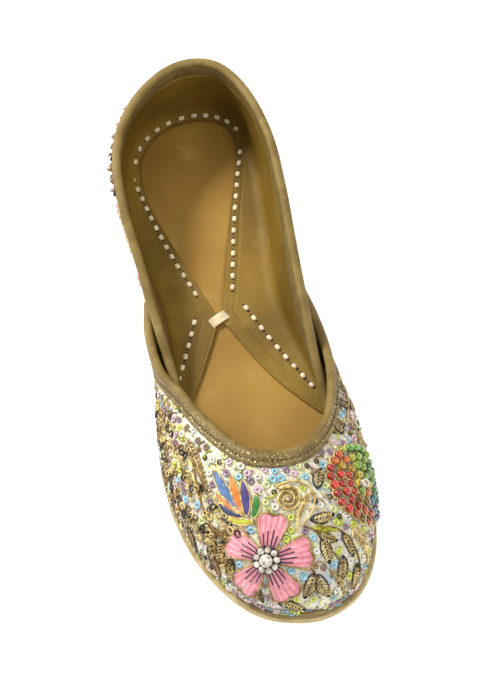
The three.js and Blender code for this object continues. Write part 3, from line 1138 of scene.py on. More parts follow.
def set_points(mesh: bpy.types.Mesh, name: str, kind: str, key: str, values: Points) -> None:
    """Gives every point of a mesh a value of its own."""
    mesh.attributes.new(name, kind, "POINT").data.foreach_set(key, np.asarray(values, float).ravel())


@dataclass
class Strands:
    """Lines that are sewn down as strands of one finish."""

    name: str
    material: bpy.types.Material
    slot: str
    step: float = 0.5
    pitch: float = 0.9
    sides: int = 6
    lines: list[tuple[Points, float, float, str]] = field(default_factory=list)

    def sew(self, points: Points, radius: float, tint: str, ridge: float = 0.0) -> None:
        """Adds one strand.

        Args:
            points: Its centre line.
            radius: Its radius.
            tint: Its colour.
            ridge: Depth of the coils as a share of the radius, or 0.
        """
        self.lines.append((np.asarray(points, float), radius, ridge, tint))

    def make(self, last: Last, tree: StrandTree) -> bpy.types.Object:
        """Makes the piece.

        Args:
            last: The last, which gives the place of the work.
            tree: The strand tree.

        Returns:
            The piece, riding on the shoe's one body.
        """
        mesh = bpy.data.meshes.new(self.name + "_lines")
        points = (np.concatenate([line[0] for line in self.lines]) + last.shift) * MM
        starts = np.cumsum([0] + [len(line[0]) for line in self.lines])
        edges = [(i, i + 1) for a, b in zip(starts, starts[1:]) for i in range(a, b - 1)]
        mesh.from_pydata(points.tolist(), edges, [])
        repeat = np.repeat(np.arange(len(self.lines)), np.diff(starts))
        _, radius, ridge, tint = zip(*self.lines)
        set_points(mesh, "thickness", "FLOAT", "value", np.array(radius)[repeat] * MM)
        set_points(mesh, "ridge", "FLOAT", "value", np.array(ridge)[repeat])
        shades = np.array([shade(code) for code in tint])[repeat]
        set_points(mesh, "tint", "FLOAT_COLOR", "color", shades)
        values = {"Step": self.step * MM, "Pitch": self.pitch * MM, "Sides": self.sides}
        piece = tree.apply(mesh, self.name, Finish=self.material, **values)
        return settle(piece, self.slot)


@dataclass
class Scatter:
    """Small pieces of one form and finish, each sewn at a place of its own."""

    name: str
    material: bpy.types.Material
    slot: str
    form: Form
    radius: float = 1.0
    hole: float = 0.3
    places: list[tuple[Points, tuple[float, ...], tuple[float, ...], str]] = field(default_factory=list)

    def sew(self, point: Points, up: Points, along: Points, size: tuple[float, ...], tint: str) -> None:
        """Adds one small piece.

        Args:
            point: Its centre.
            up: The way it faces.
            along: The way its length runs.
            size: Its scale along, across and up.
            tint: Its colour.
        """
        across = unit(np.cross(up, along))
        turn = Matrix(np.stack([np.cross(across, up), across, up], 1).tolist()).to_euler("XYZ")
        self.places.append((np.asarray(point, float), tuple(turn), size, tint))

    def make(self, last: Last, tree: ScatterTree) -> bpy.types.Object:
        """Makes the piece.

        Args:
            last: The last, which gives the place of the work.
            tree: The scatter tree of the same form.

        Returns:
            The piece, riding on the shoe's one body.
        """
        mesh = bpy.data.meshes.new(self.name + "_points")
        where, turn, size, tint = zip(*self.places)
        mesh.from_pydata(((np.array(where) + last.shift) * MM).tolist(), [], [])
        set_points(mesh, "turn", "FLOAT_VECTOR", "vector", turn)
        set_points(mesh, "size", "FLOAT_VECTOR", "vector", size)
        set_points(mesh, "tint", "FLOAT_COLOR", "color", [shade(code) for code in tint])
        values = {"Radius": self.radius * MM, "Hole": self.hole * MM}
        piece = tree.apply(mesh, self.name, Finish=self.material, **values)
        return settle(piece, self.slot)


def settle(piece: bpy.types.Object, slot: str) -> bpy.types.Object:
    """Turns a piece's faces outwards, puts it on the shoe's one body and logs how many faces it has.

    Args:
        piece: A finished piece.
        slot: The record's slot; not used.

    Returns:
        The piece.
    """
    outward_facing(piece)
    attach(piece, "root")
    LOG.info("%s: %d faces", piece.name, len(piece.data.polygons))
    return piece


# --------------------------------------------------------------------------- soles

@dataclass
class Slab:
    """A slab that fills the feather line and bends with the last."""

    last: Last
    name: str
    levels: tuple[tuple[float, float], ...]
    wander: float = 0.0
    half: int = 260
    across: int = 26

    def inset(self, station: Points) -> Points:
        """How far the slab's edge lies inside the feather line."""
        return np.zeros_like(station)

    def build(self, materials: list[bpy.types.Material], slot: str) -> bpy.types.Object:
        """Builds the slab as one closed mesh.

        Args:
            materials: Its finish, in a list.
            slot: The record's slot.

        Returns:
            The piece, which stands for the part of the same name.
        """
        sheet = MeshSheet(self.last)
        station = np.arange(2 * self.half) * self.last.laps / (2 * self.half)
        edge = self.inset(station)
        if self.wander:
            ring = self.last.foot(station, edge, 0.0)
            edge = edge + self.wander * wobble(ring, 9.0, 3.7)
        rings = [self.last.foot(station, edge + inset, lift) for lift, inset in self.levels]
        index = sheet.grid(np.array(rings), wrap=True)
        for row, (lift, _) in ((0, self.levels[0]), (-1, self.levels[-1])):
            self.cap(sheet, index[row], rings[row], lift)
        piece = sheet.piece(self.name + "_made", materials)
        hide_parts(self.name)
        return settle(piece, slot)

    def cap(self, sheet: MeshSheet, ring: Points, points: Points, lift: float) -> None:
        """Closes one face of the slab from side to side.

        Args:
            sheet: Collects the faces.
            ring: Indices of the points round the edge.
            points: Those points.
            lift: Height of the face.
        """
        half, count = self.half, len(ring)
        share = np.linspace(0, 1, self.across + 1)[1:-1]
        rows = [np.array([ring[half]])]
        for step in range(1, half):
            left, right = half - step, (half + step) % count
            inner = points[left] * (1 - share[:, None]) + points[right] * share[:, None]
            inner[:, 2] = self.last.underside(self.last.length / 2 - inner[:, 1]) + lift
            fresh = np.arange(len(inner)) + sheet.count
            sheet.points.append(inner)
            sheet.uvs.append(inner[:, :2])
            sheet.count += len(inner)
            rows.append(np.r_[ring[left], fresh, ring[right]])
        rows.append(np.array([ring[0]]))
        for here, beyond in zip(rows, rows[1:]):
            longest = max(len(here), len(beyond)) - 1
            for part in range(longest):
                corners = [
                    here[min(part, len(here) - 1)],
                    here[min(part + 1, len(here) - 1)],
                    beyond[min(part + 1, len(beyond) - 1)],
                    beyond[min(part, len(beyond) - 1)],
                ]
                kept = tuple(int(c) for place, c in enumerate(corners) if c not in corners[:place])
                sheet.faces.append(kept)
                sheet.parts.append(0)


@dataclass
class Outsole(Slab):
    """The outsole: thick leather in two layers with a rubbed edge."""

    overhang: float = OVERHANG

    def inset(self, station: Points) -> Points:
        """The outsole stands out beyond the feather line."""
        return np.full_like(station, -self.overhang)


@dataclass
class Insole(Slab):
    """The insole board covered in smooth leather."""

    def inset(self, station: Points) -> Points:
        """The insole stops short of the wall."""
        return self.last.feather.at("inset", station)


OUTSOLE_EDGE = (
    (0.0, 1.5), (0.0, 0.75), (0.14, 0.38), (0.38, 0.12), (0.75, 0.0), (1.7, 0.0), (1.86, 0.12),
    (1.98, 0.34), (2.1, 0.34), (2.22, 0.12), (2.4, 0.0), (3.3, 0.0), (3.66, 0.12), (3.9, 0.38),
    (4.0, 0.8), (4.0, 1.6), (4.0, 3.2), (4.0, 5.5),
)
INSOLE_EDGE = ((4.3, 1.0), (4.3, 0.1), (4.6, 0.0), (6.2, 0.0), (6.55, 0.14), (6.7, 0.5), (6.7, 1.4))


# --------------------------------------------------------------------------- upper

@dataclass(frozen=True)
class Crease:
    """A soft trough or ridge placed on a wall."""

    station: float
    rise: float
    reach: float
    spread: float
    depth: float
    slant: float = 0.0


VAMP_CREASES = (
    Crease(8.1, 0.45, 0.16, 0.34, 0.55, 0.5),
    Crease(9.4, 0.2, 0.12, 0.2, 0.4, 0.2),
    Crease(11.6, 0.1, 0.1, 0.12, 0.45),
    Crease(12.55, 0.08, 0.12, 0.16, 0.7),
    Crease(13.3, 0.1, 0.14, 0.16, -0.6),
    Crease(14.1, 0.09, 0.1, 0.13, 0.5),
    Crease(16.9, 0.2, 0.14, 0.22, 0.4, -0.3),
    Crease(18.6, 0.5, 0.2, 0.36, 0.5, -0.5),
)
QUARTER_CREASES = (
    Crease(20.4, 0.6, 0.3, 0.35, 0.7, 0.3),
    Crease(22.3, 0.55, 0.5, 0.3, 0.6, -0.3),
    Crease(24.4, 0.5, 0.3, 0.32, -0.45),
    Crease(27.5, 0.5, 0.3, 0.32, -0.45),
    Crease(29.5, 0.5, 0.5, 0.3, 0.6, 0.3),
    Crease(31.4, 0.6, 0.3, 0.35, 0.7, -0.3),
)


@dataclass
class Shell:
    """One embroidered wall of the upper, with silk outside and leather inside."""

    wall: Wall
    name: str
    creases: tuple[Crease, ...]
    steps: int
    rises: int
    seed: float

    def relief(self, station: Points, rise: Points, points: Points) -> Points:
        """How deep the wall's creases and gathers go at each point.

        Args:
            station: Places along the wall.
            rise: 0 at the sole and 1 at the top edge.
            points: The points there.

        Returns:
            Depths into the wall.
        """
        depth = 0.22 * wobble(points, 13.0, self.seed)
        gathers = np.sin(station * 21.0 + 2.0 * wobble(points, 20.0, self.seed + 5))
        depth = depth + 0.16 * gathers * np.exp(-rise / 0.12)
        for crease in self.creases:
            along = (station - crease.station - crease.slant * (rise - crease.rise)) / crease.reach
            up = (rise - crease.rise) / crease.spread
            depth = depth + crease.depth * np.exp(-(along**2) - up**2)
        return depth

    def surface(self, depth: float) -> Points:
        """A grid of points at a depth inside the wall.

        Args:
            depth: Depth inside the wall.

        Returns:
            Stations by rises by three.
        """
        station = np.linspace(self.wall.first, self.wall.final, self.steps)[:, None]
        rise = np.linspace(0, 1, self.rises)[None, :]
        station, rise = np.broadcast_arrays(station, rise)
        outside = self.wall.outside(station, rise)
        fade = np.clip(np.minimum(1 - rise, rise) / 0.06, 0, 1)
        total = depth + fade * self.relief(station, rise, outside)
        return self.wall.at_depth(station, rise, total)

    def build(self, silk: bpy.types.Material, leather: bpy.types.Material) -> bpy.types.Object:
        """Builds the wall as one closed mesh.

        Args:
            silk: Finish of the outside.
            leather: Finish of the inside and the edges.

        Returns:
            The piece, which stands for the upper.
        """
        sheet = MeshSheet(self.wall.last)
        outer = sheet.grid(self.surface(0.0), 0)
        inner = sheet.grid(self.surface(self.wall.thickness)[:, ::-1], 1)[:, ::-1]
        for edge in (
            np.stack([outer[:, -1], inner[:, -1]], 1),
            np.stack([inner[:, 0], outer[:, 0]], 1),
            np.stack([outer[0], inner[0]], 1),
            np.stack([inner[-1], outer[-1]], 1),
        ):
            sheet.stitch(edge, 1)
        piece = sheet.piece(self.name, [silk, leather])
        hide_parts("upper")
        return settle(piece, "embroidered_fabric")


@dataclass
class Binding:
    """Leather folded over a top edge and sewn down with a row of slanting stitches."""

    wall: Wall
    name: str
    node: str
    inner_width: float
    foot_clearance: float
    outer_width: float = 5.2
    leather: float = 1.05
    crest: float = 1.5
    seam: float = 0.56
    steps: int = 460

    def section(self, outer: float, inner: float) -> tuple[Points, Points]:
        """The folded section.

        Args:
            outer: Length of the outer leg.
            inner: Length of the inner leg.

        Returns:
            Distances up from the top edge, and depths inwards from the wall's outside.
        """
        thick, wall = self.leather, self.wall.thickness
        seam = outer * self.seam
        turn = np.linspace(0, math.pi, 13)
        middle, half = wall / 2, wall / 2 + thick
        legs = [
            (-outer, -0.25), (-outer + 0.12, -0.7), (-outer + 0.55, -thick * 0.92),
            (-outer + 1.3, -thick), (-seam - 0.8, -thick), (-seam - 0.3, -thick * 0.78),
            (-seam + 0.3, -thick * 0.78), (-seam + 0.8, -thick), (-seam * 0.45, -thick * 1.04),
            (-0.6, -thick * 1.02),
        ]
        crest = [(self.crest * math.sin(a), middle - half * math.cos(a)) for a in turn]
        inside = [
            (-0.7, wall + thick), (-inner * 0.35, wall + thick), (-inner * 0.7, wall + thick * 0.98),
            (-inner + 0.6, wall + thick * 0.92), (-inner + 0.15, wall + thick * 0.66), (-inner, wall + 0.3),
        ]
        lining = [(-inner, wall + 0.06), (0.08, wall + 0.06), (0.08, -0.06), (-outer, -0.06)]
        path = np.array(legs + crest + inside + lining)
        return path[:, 0], path[:, 1]

    def parts(self) -> Points:
        """Which points round the section are the smooth rim."""
        return np.repeat((0, 1, 0), (9, 14, 10))

    def build(self, glitter: bpy.types.Material, rim: bpy.types.Material) -> bpy.types.Object:
        """Builds the folded strip.

        Args:
            glitter: Finish of its two legs.
            rim: Finish of its crest.

        Returns:
            The piece.
        """
        station = np.linspace(self.wall.first, self.wall.final, self.steps)
        length = self.wall.length(station)
        outer = np.minimum(self.outer_width, length - 1.0)
        inner = np.minimum(self.inner_width, length - self.foot_clearance)
        rings = []
        run = running_length(self.wall.outside(station, 1.0))
        for place, (here, reach, out, into) in enumerate(zip(station, length, outer, inner)):
            above, depth = self.section(out, into)
            stations = np.full(len(above), here)
            rise = 1 + above / reach
            pucker = 0.09 * math.sin(run[place] * 2 * math.pi / 2.3)
            proud = np.where(depth < -0.3, -pucker, np.where(depth > 2.2, pucker * 0.6, 0.0))
            points = self.wall.outside(stations, rise)
            normal = self.wall.normal(stations, np.minimum(rise, 1))
            rings.append(points - normal * (depth + proud)[:, None])
        rings = np.array(rings)
        soft = wobble(rings.mean(1), 16.0, 8.1 + self.inner_width)
        rings[..., 2] += 0.3 * soft[:, None] * (np.abs(np.linspace(-1, 1, len(rings))) < 0.98)[:, None]
        sheet = MeshSheet(self.wall.last)
        sheet.tube(rings, 0, self.parts())
        piece = sheet.piece(self.name, [glitter, rim])
        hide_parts(self.node)
        return settle(piece, "binding_leather")

    def sew_seam(self, work: Scatter, every: float = 1.9) -> None:
        """Sews a zigzag of dark stitches along the outer leg.

        Args:
            work: Collects the stitches.
            every: Distance between stitches.
        """
        for index, (point, up, along) in enumerate(zip(*self.seam_line(every))):
            side = np.cross(up, along) * (0.55 if index % 2 else -0.55)
            tint = "3A2B15" if index % 2 else "57452A"
            work.sew(point, up, unit(along + side), (1.75, 0.55, 0.55), tint)

    def seam_line(self, every: float) -> tuple[Points, Points, Points]:
        """Evenly spaced places along the seam on the outer leg.

        Args:
            every: Distance between stitches.

        Returns:
            Points, outward normals and directions along the strip.
        """
        station = np.linspace(self.wall.first + 0.05, self.wall.final - 0.05, 3000)
        length = self.wall.length(station)
        outer = np.minimum(self.outer_width, length - 1.0)
        rise = 1 - outer * self.seam / length
        points = self.wall.at_depth(station, rise, -self.leather * 0.84)
        run = running_length(points)
        where = np.arange(every, run[-1] - every, every)
        pick = np.searchsorted(run, where)
        along = unit(points[np.minimum(pick + 4, 2999)] - points[pick - 4])
        return points[pick], self.wall.normal(station[pick], rise[pick]), along


# --------------------------------------------------------------------------- lining and hand sewing

LINING_EDGE = (
    (18.1, 31.4, 165.6),
    (18.9, 25.1, 158.9),
    (19.7, 12.0, 141.0),
    (20.5, -0.6, 116.0),
    (20.6, -2.9, 111.6),
    (20.7, -2.0, 107.5),
    (21.4, 3.6, 86.0),
    (22.3, 9.4, 66.0),
    (23.0, 15.2, 47.0),
    (23.6, 19.4, 31.0),
    (24.1, 20.2, 20.8),
    (24.8, 16.2, 13.0),
    (25.5, 8.8, 9.4),
    (26.0, 3.0, 8.4),
    (26.6, -6.0, 9.4),
    (27.2, -13.0, 12.5),
    (28.0, -20.8, 21.0),
    (28.6, -23.6, 31.0),
    (29.3, -22.6, 49.0),
    (30.1, -16.9, 69.0),
    (30.9, -10.8, 90.0),
    (31.5, -5.2, 107.5),
    (31.6, -4.3, 111.4),
    (31.7, -5.5, 115.0),
    (32.4, -12.5, 129.0),
    (33.35, -22.3, 147.4),
)


@dataclass
class Lining:
    """Soft leather that runs down inside the quarter and in over the insole as cut flaps."""

    wall: Wall
    binding: Binding
    floor_lift: float = 6.78
    clear: float = 0.12
    thickness: float = 0.85
    steps: int = 460
    leaves_wall: float = 6.5
    meets_floor: float = 4.6
    edge: CubicTable = field(init=False)

    def __post_init__(self) -> None:
        """Reads the edge of the flaps."""
        self.edge = CubicTable(("station", "x", "from_heel"), LINING_EDGE)

    def path(self, station: Points, lift: float) -> Points:
        """The lining's section at each station, from under the binding to the flap's edge.

        Args:
            station: Places along the quarter.
            lift: Distance off the wall and the insole.

        Returns:
            An array of stations by places along the section by three.
        """
        last, wall = self.wall.last, self.wall
        length = wall.length(station)
        leg = np.minimum(self.binding.inner_width, length - self.binding.foot_clearance)
        top = 1 - (leg + 0.1) / length
        low = np.minimum(self.leaves_wall / length, top * 0.92)
        depth = wall.thickness + self.clear + lift
        share = np.linspace(0, 1, 14)[None, :]
        rise = top[:, None] * (1 - share) + low[:, None] * share
        down = wall.at_depth(station[:, None], rise, depth)
        inset = wall.table.at("inset", station) + depth
        corner = last.foot(station, inset, self.floor_lift + lift)
        x, from_heel = self.edge.at("x", station), self.edge.at("from_heel", station)
        edge = last.on_floor(x, from_heel, self.floor_lift + lift)
        span = np.linalg.norm((edge - corner)[:, :2], axis=1)
        turn = corner + (edge - corner) * np.minimum(self.meets_floor / span, 0.55)[:, None]
        start, middle, finish = (line[:, None] for line in (down[:, -1], corner, turn))
        t = np.linspace(0, 1, 15)[1:, None]
        fillet = start * (1 - t) ** 2 + 2 * middle * t * (1 - t) + finish * t**2
        t = np.linspace(0, 1, 34)[1:, None]
        flat = finish * (1 - t) + edge[:, None] * t
        plan = last.on_floor(flat[..., 0], last.length / 2 - flat[..., 1], self.floor_lift + lift)
        return np.concatenate([down, fillet, plan], 1)

    def waves(self, points: Points) -> Points:
        """Small lifts of the loose flaps, and the line pressed in beside their edge.

        Args:
            points: The sections of its upper side.

        Returns:
            Heights to add.
        """
        away = np.linalg.norm((points - points[:, -1:])[..., :2], axis=-1)
        loose = np.zeros(points.shape[:2])
        fixed = 28
        loose[:, fixed:] = np.linspace(0, 1, points.shape[1] - fixed)
        lift = 0.32 * (1 + wobble(points, 24.0, 2.2)) * loose
        pressed = 0.3 * np.exp(-(((away - 6.6) / 0.55) ** 2))
        pressed = pressed + 0.22 * np.exp(-(((away - 1.1) / 0.35) ** 2))
        return lift - pressed * np.clip(loose * 4, 0, 1)

    def build(self, leather: bpy.types.Material) -> bpy.types.Object:
        """Builds the lining as one closed sheet.

        Args:
            leather: Its finish.

        Returns:
            The piece.
        """
        station = np.linspace(self.wall.first + 0.04, self.wall.final - 0.04, self.steps)
        top, under = self.path(station, self.thickness), self.path(station, 0.0)
        waves = self.waves(top)
        top[..., 2] += waves
        under[..., 2] += np.clip(waves, 0, None)
        under[:, -1] = under[:, -1] * 0.6 + top[:, -1] * 0.4
        sheet = MeshSheet(self.wall.last)
        upper = sheet.grid(top[:, ::-1])
        lower = sheet.grid(under)[:, ::-1]
        for edge in (
            np.stack([upper[:, 0], lower[:, 0]], 1)[::-1],
            np.stack([upper[:, -1], lower[:, -1]], 1),
            np.stack([upper[0], lower[0]], 1),
            np.stack([lower[-1], upper[-1]], 1),
        ):
            sheet.stitch(edge)
        piece = sheet.piece("lining", [leather])
        return settle(piece, "insole_leather")

    def top_of(self, x: float, from_heel: float) -> Points:
        """A point on top of the flaps, by its place in plan."""
        lift = self.floor_lift + self.thickness + 0.36
        return self.wall.last.on_floor(np.array([x]), np.array([from_heel]), lift)[0]


@dataclass(frozen=True)
class StitchRow:
    """A row of hand stitches between two places on the flaps."""

    start: tuple[float, float]
    finish: tuple[float, float]
    count: int
    bow: float = 0.0

    def places(self) -> Points:
        """Places of the stitches' middles, as x and distance from the heel.

        Returns:
            One row for each stitch.
        """
        share = (np.arange(self.count) + 0.5) / self.count
        start, finish = np.array(self.start), np.array(self.finish)
        line = start + (finish - start) * share[:, None]
        side = unit(np.array([start[1] - finish[1], finish[0] - start[0]]))
        return line + side * (self.bow * np.sin(np.pi * share))[:, None]


STITCH_ROWS = (
    StitchRow((-28.0, 30.0), (-10.4, 99.5), 13, 1.6),
    StitchRow((22.6, 27.0), (4.4, 100.5), 13, 1.0),
    StitchRow((-13.2, 108.0), (-26.6, 137.5), 6),
    StitchRow((7.6, 106.0), (29.6, 153.0), 9, 0.8),
)


@dataclass
class HandSewing:
    """White cotton stitches that hold the flaps, and the bar tack where the four flaps meet."""

    lining: Lining
    length: float = 3.0
    width: float = 2.2
    height: float = 1.4
    cotton: str = "F2E5BE"
    # The dark blocks at the stitch ends are painted shade of the stitch holes; no hole is cut in the
    # leather.
    hole: str = "3D2C12"
    hole_shade_size: tuple[float, ...] = (0.95, 1.7, 0.4)
    tack_at: tuple[float, float] = (-3.6, 111.2)
    tack_length: float = 8.2
    tack_width: float = 4.4
    tack_turn: float = 24.0

    def rows(self, work: Scatter) -> None:
        """Sews the rows on the flaps.

        Args:
            work: Collects the stitches.
        """
        for row in STITCH_ROWS:
            plan = row.places()
            points = np.array([self.lining.top_of(*place) for place in plan])
            along = np.gradient(points, axis=0)
            for index, (point, way) in enumerate(zip(points, along)):
                lean = 0.12 * math.sin(index * 2.4)
                self.one(work, point, np.array([0, 0, 1.0]), unit(way) + [lean, 0, 0])

    def heel_arc(self, work: Scatter, count: int = 11) -> None:
        """Sews the row round the heel seat, up on the turn of the lining.

        Args:
            work: Collects the stitches.
            count: Number of stitches.
        """
        station = np.linspace(24.15, 28.35, count)
        path = self.lining.path(station, self.lining.thickness + 0.1)
        points = path[:, 20]
        along = np.gradient(points, axis=0)
        across = path[:, 23] - path[:, 17]
        for point, way, down in zip(points, along, across):
            way = unit(way)
            up = unit(np.cross(down, way))
            self.one(work, point, up if up[2] > 0 else -up, way)

    def one(self, work: Scatter, point: Points, up: Points, way: Points) -> None:
        """Sews one stitch with a dark block at each end, painted shade where the thread goes into the
        leather.

        Args:
            work: Collects the stitches.
            point: Its middle.
            up: The way the leather faces.
            way: The way it runs.
        """
        way = unit(way)
        work.sew(point, up, way, (self.length, self.width, self.height), self.cotton)
        for end in (-1, 1):
            place = point + way * end * self.length * 0.62 - up * 0.2
            work.sew(place, up, way, self.hole_shade_size, self.hole)

    def tack(self, work: Strands) -> None:
        """Winds the bar tack.

        Args:
            work: Collects the strands.
        """
        angle = math.radians(self.tack_turn)
        way = np.array([math.cos(angle), math.sin(angle), 0.0])
        side = np.array([-way[1], way[0], 0.0])
        middle = self.lining.top_of(*self.tack_at)
        share = np.linspace(-1, 1, 15)
        for strand in np.linspace(-0.5, 0.5, 6):
            line = middle + side * strand * self.tack_width * 0.86
            rise = 0.75 * (1 - share**4) - 0.45 + 0.12 * (0.5 - abs(strand))
            points = line + way * share[:, None] * self.tack_length / 2
            points[:, 2] += rise
            work.sew(points, 0.4, self.cotton, 0.06)


# --------------------------------------------------------------------------- embroidery

class Thread(str, Enum):
    """Colours of the embroidery threads."""

    GOLD = "F2DA96"
    ANTIQUE = "C4A970"
    BRONZE = "9A7A48"
    DARK = "3A3226"
    PINK = "FFABB6"
    ROSE = "F0909F"
    PLUM = "3B2348"
    BLUE = "5C83B4"
    NAVY = "2B3763"
    VIOLET = "54488C"
    ORANGE = "E88B33"
    GREEN = "3E9140"
    LIME = "CDD33A"


SEQUIN_TINTS = (
    ("D5E04E", 0.17),
    ("E4EBA0", 0.09),
    ("F2EDDC", 0.24),
    ("E9C4CA", 0.1),
    ("9C7F8B", 0.14),
    ("9FD2E0", 0.2),
    ("8F7A55", 0.06),
)
SEED_TINTS = ("F4F1E8", "E9E6C8", "CBD98A", "B9D3DA", "EBC6CC", "DDBE7A")
MIDDLE = np.zeros((1, 2))


@dataclass
class Patch:
    """A flat drawing place that is laid down on a wall."""

    chart: "Chart"
    origin: Points
    along: Points
    across: Points
    up: Points

    def face(self, drawn: Points) -> tuple[Points, Points]:
        """Lays drawn places on the wall.

        Args:
            drawn: Places in millimetres, along and across.

        Returns:
            Points on the wall and the wall's outward normals there.
        """
        flat = self.origin + drawn[:, :1] * self.along + drawn[:, 1:2] * self.across
        points, normals = zip(*(self.chart.drop(place, self.up) for place in flat))
        return np.array(points), np.array(normals)

    def lay(self, drawn: Points, lift: float | Points) -> Points:
        """Lays drawn places on the wall and raises them by lift."""
        points, normals = self.face(np.asarray(drawn, float))
        return points + normals * np.broadcast_to(lift, len(points))[:, None]

    def drawn(self, place: Place) -> tuple[float, float]:
        """Where a place on the shoe comes in the drawing."""
        gap = self.chart.near(*place)[0] - self.origin
        return float(gap @ self.along), float(gap @ self.across)


class Chart:
    """The outside of one wall, ready to be drawn on."""

    drop_from = 14.0
    drop_reach = 34.0
    grazing = 0.15

    def __init__(self, shell: Shell) -> None:
        """Keeps the wall's surface as a search tree.

        Args:
            shell: The wall.
        """
        self.wall, self.last = shell.wall, shell.wall.last
        grid = shell.surface(0.0)
        rows, columns = grid.shape[:2]
        index = np.arange(rows * columns).reshape(rows, columns)
        quads = np.stack([index[:-1, :-1], index[1:, :-1], index[1:, 1:], index[:-1, 1:]], -1)
        self.tree = BVHTree.FromPolygons(grid.reshape(-1, 3).tolist(), quads.reshape(-1, 4).tolist())

    def drop(self, place: Points, up: Points) -> tuple[Points, Points]:
        """Drops a place down a direction on to the wall.

        Args:
            place: A place near the wall.
            up: The direction it comes from.

        Returns:
            The point on the wall and its outward normal.
        """
        start = Vector(place + up * self.drop_from)
        point, normal, _, _ = self.tree.ray_cast(start, Vector(-up), self.drop_reach)
        if point is None or normal.dot(Vector(up)) < self.grazing:
            point, normal, _, _ = self.tree.find_nearest(Vector(place))
        return np.array(point), np.array(normal)

    def near(self, x: float, from_heel: float, height: float) -> tuple[Points, Points]:
        """The wall's nearest point and normal to a place on the shoe.

        Args:
            x: Place across the shoe.
            from_heel: Distance from the heel.
            height: Height above the ground.

        Returns:
            The point and its normal.
        """
        place = Vector((x, self.last.length / 2 - from_heel, height))
        point, normal, _, _ = self.tree.find_nearest(place)
        return np.array(point), np.array(normal)

    def at(self, station: float, rise: float) -> Place:
        """The place on the shoe of a point of the wall."""
        x, y, z = self.wall.outside(np.array(station), np.array(rise))
        return float(x), float(self.last.length / 2 - y), float(z)

    def patch(self, centre: Place, towards: Place) -> Patch:
        """A drawing place at centre whose first axis points towards another place.

        Args:
            centre: A place on the shoe.
            towards: Another place on the shoe.

        Returns:
            The drawing place.
        """
        origin, up = self.near(*centre)
        aim, _ = self.near(*towards)
        along = aim - origin
        along = unit(along - up * (along @ up))
        return Patch(self, origin, along, np.cross(up, along), up)

    def between(self, start: Place, finish: Place) -> tuple[Patch, float]:
        """A drawing place at the middle of two places, and the distance between them.

        Args:
            start: A place on the shoe.
            finish: Another place on the shoe.

        Returns:
            The drawing place and the distance.
        """
        first, _ = self.near(*start)
        second, _ = self.near(*finish)
        middle = (first + second) / 2
        centre = (middle[0], self.last.length / 2 - middle[1], middle[2])
        return self.patch(centre, finish), float(np.linalg.norm(second - first))


@dataclass
class Needlework:
    """All that is sewn on one wall."""

    chart: Chart
    satin: Strands
    metal: Strands
    glass: Scatter
    sequins: Scatter
    random: np.random.Generator
    taken: list[Points] = field(default_factory=list)

    def purl(self, points: Points, radius: float, tint: str, ridge: float = 0.22) -> None:
        """Sews a line of coiled metal purl."""
        self.metal.sew(points, radius, tint, ridge)
        self.taken.append(points)

    def stem(self, places: tuple[Place, ...], radius: float, tint: str) -> None:
        """Sews a purl stem through a few places on the shoe.

        Args:
            places: The places.
            radius: Radius of the purl.
            tint: Its colour.
        """
        patch = self.chart.patch(places[0], places[-1])
        flat = [patch.drawn(place) for place in places]
        self.purl(patch.lay(curve_through(flat, 12 * len(flat)), 0.55), radius, tint)

    def silk(self, points: Points, radius: float, tint: str) -> None:
        """Sews a smooth silk strand."""
        self.satin.sew(points, radius, tint)
        self.taken.append(points)

    def bead(self, point: Points, up: Points, radius: float, tint: str, squash: float = 1.0) -> None:
        """Sews on a bead, half sunk in its stitches.

        Args:
            point: Its place on the wall.
            up: The way the wall faces.
            radius: Its radius.
            tint: Its colour.
            squash: Its height as a share of its width.
        """
        middle = point + up * radius * 0.82 * squash
        along = unit(np.cross(up, [0.31, 0.9, 0.2]))
        self.glass.sew(middle, up, along, (radius, radius, radius * squash), tint)
        self.taken.append(point[None])

    def beads(
        self, patch: Patch, drawn: Points, lift: float, radius: float, tint: str, squash: float = 1.0
    ) -> None:
        """Sews a bead at each drawn place.

        Args:
            patch: The drawing place.
            drawn: Places in millimetres, along and across.
            lift: Height above the wall.
            radius: Their radius.
            tint: Their colour.
            squash: Their height as a share of their width.
        """
        for point, normal in zip(*patch.face(drawn)):
            self.bead(point + normal * lift, normal, radius, tint, squash)


@dataclass
class Tendrils:
    """Small curled sprigs of purl, sewn wherever the ground is still bare."""

    count: int
    rises: tuple[float, float]
    reach: float = 3.1
    clear: float = 2.3
    tries: int = 900

    def sew(self, work: Needlework) -> None:
        """Sews the sprigs.

        Args:
            work: Collects the work.
        """
        wall, made = work.chart.wall, 0
        for station in work.random.uniform(wall.first + 0.4, wall.final - 0.4, self.tries):
            place = work.chart.at(station, work.random.uniform(*self.rises))
            patch = work.chart.patch(place, work.chart.at(station + 0.2, 0.5))
            nearest = np.linalg.norm(np.concatenate(work.taken) - patch.origin, axis=1).min()
            if made < self.count and nearest > self.clear:
                self.sprig(work, patch, work.random.uniform(0, 2 * math.pi), made)
                made += 1

    def sprig(self, work: Needlework, patch: Patch, heading: float, index: int) -> None:
        """Sews one sprig: a curled stem with a small loop at its end.

        Args:
            work: Collects the work.
            patch: Where it goes.
            heading: The way it starts.
            index: Number of the sprig.
        """
        share = np.linspace(0, 1, 16)
        turn = heading + 2.2 * share**2
        steps = circle(turn) * self.reach / 9
        stem = np.cumsum(steps, axis=0) - steps.sum(0) / 2
        loop = stem[-1] + circle(np.linspace(0, 2 * math.pi, 11) + heading) * 0.85
        tint = (Thread.ANTIQUE, Thread.BRONZE, Thread.GOLD, Thread.LIME)[index % 4]
        work.purl(patch.lay(stem, 0.45), 0.33, tint)
        work.purl(patch.lay(loop, 0.5), 0.3, Thread.DARK if index % 3 else tint)


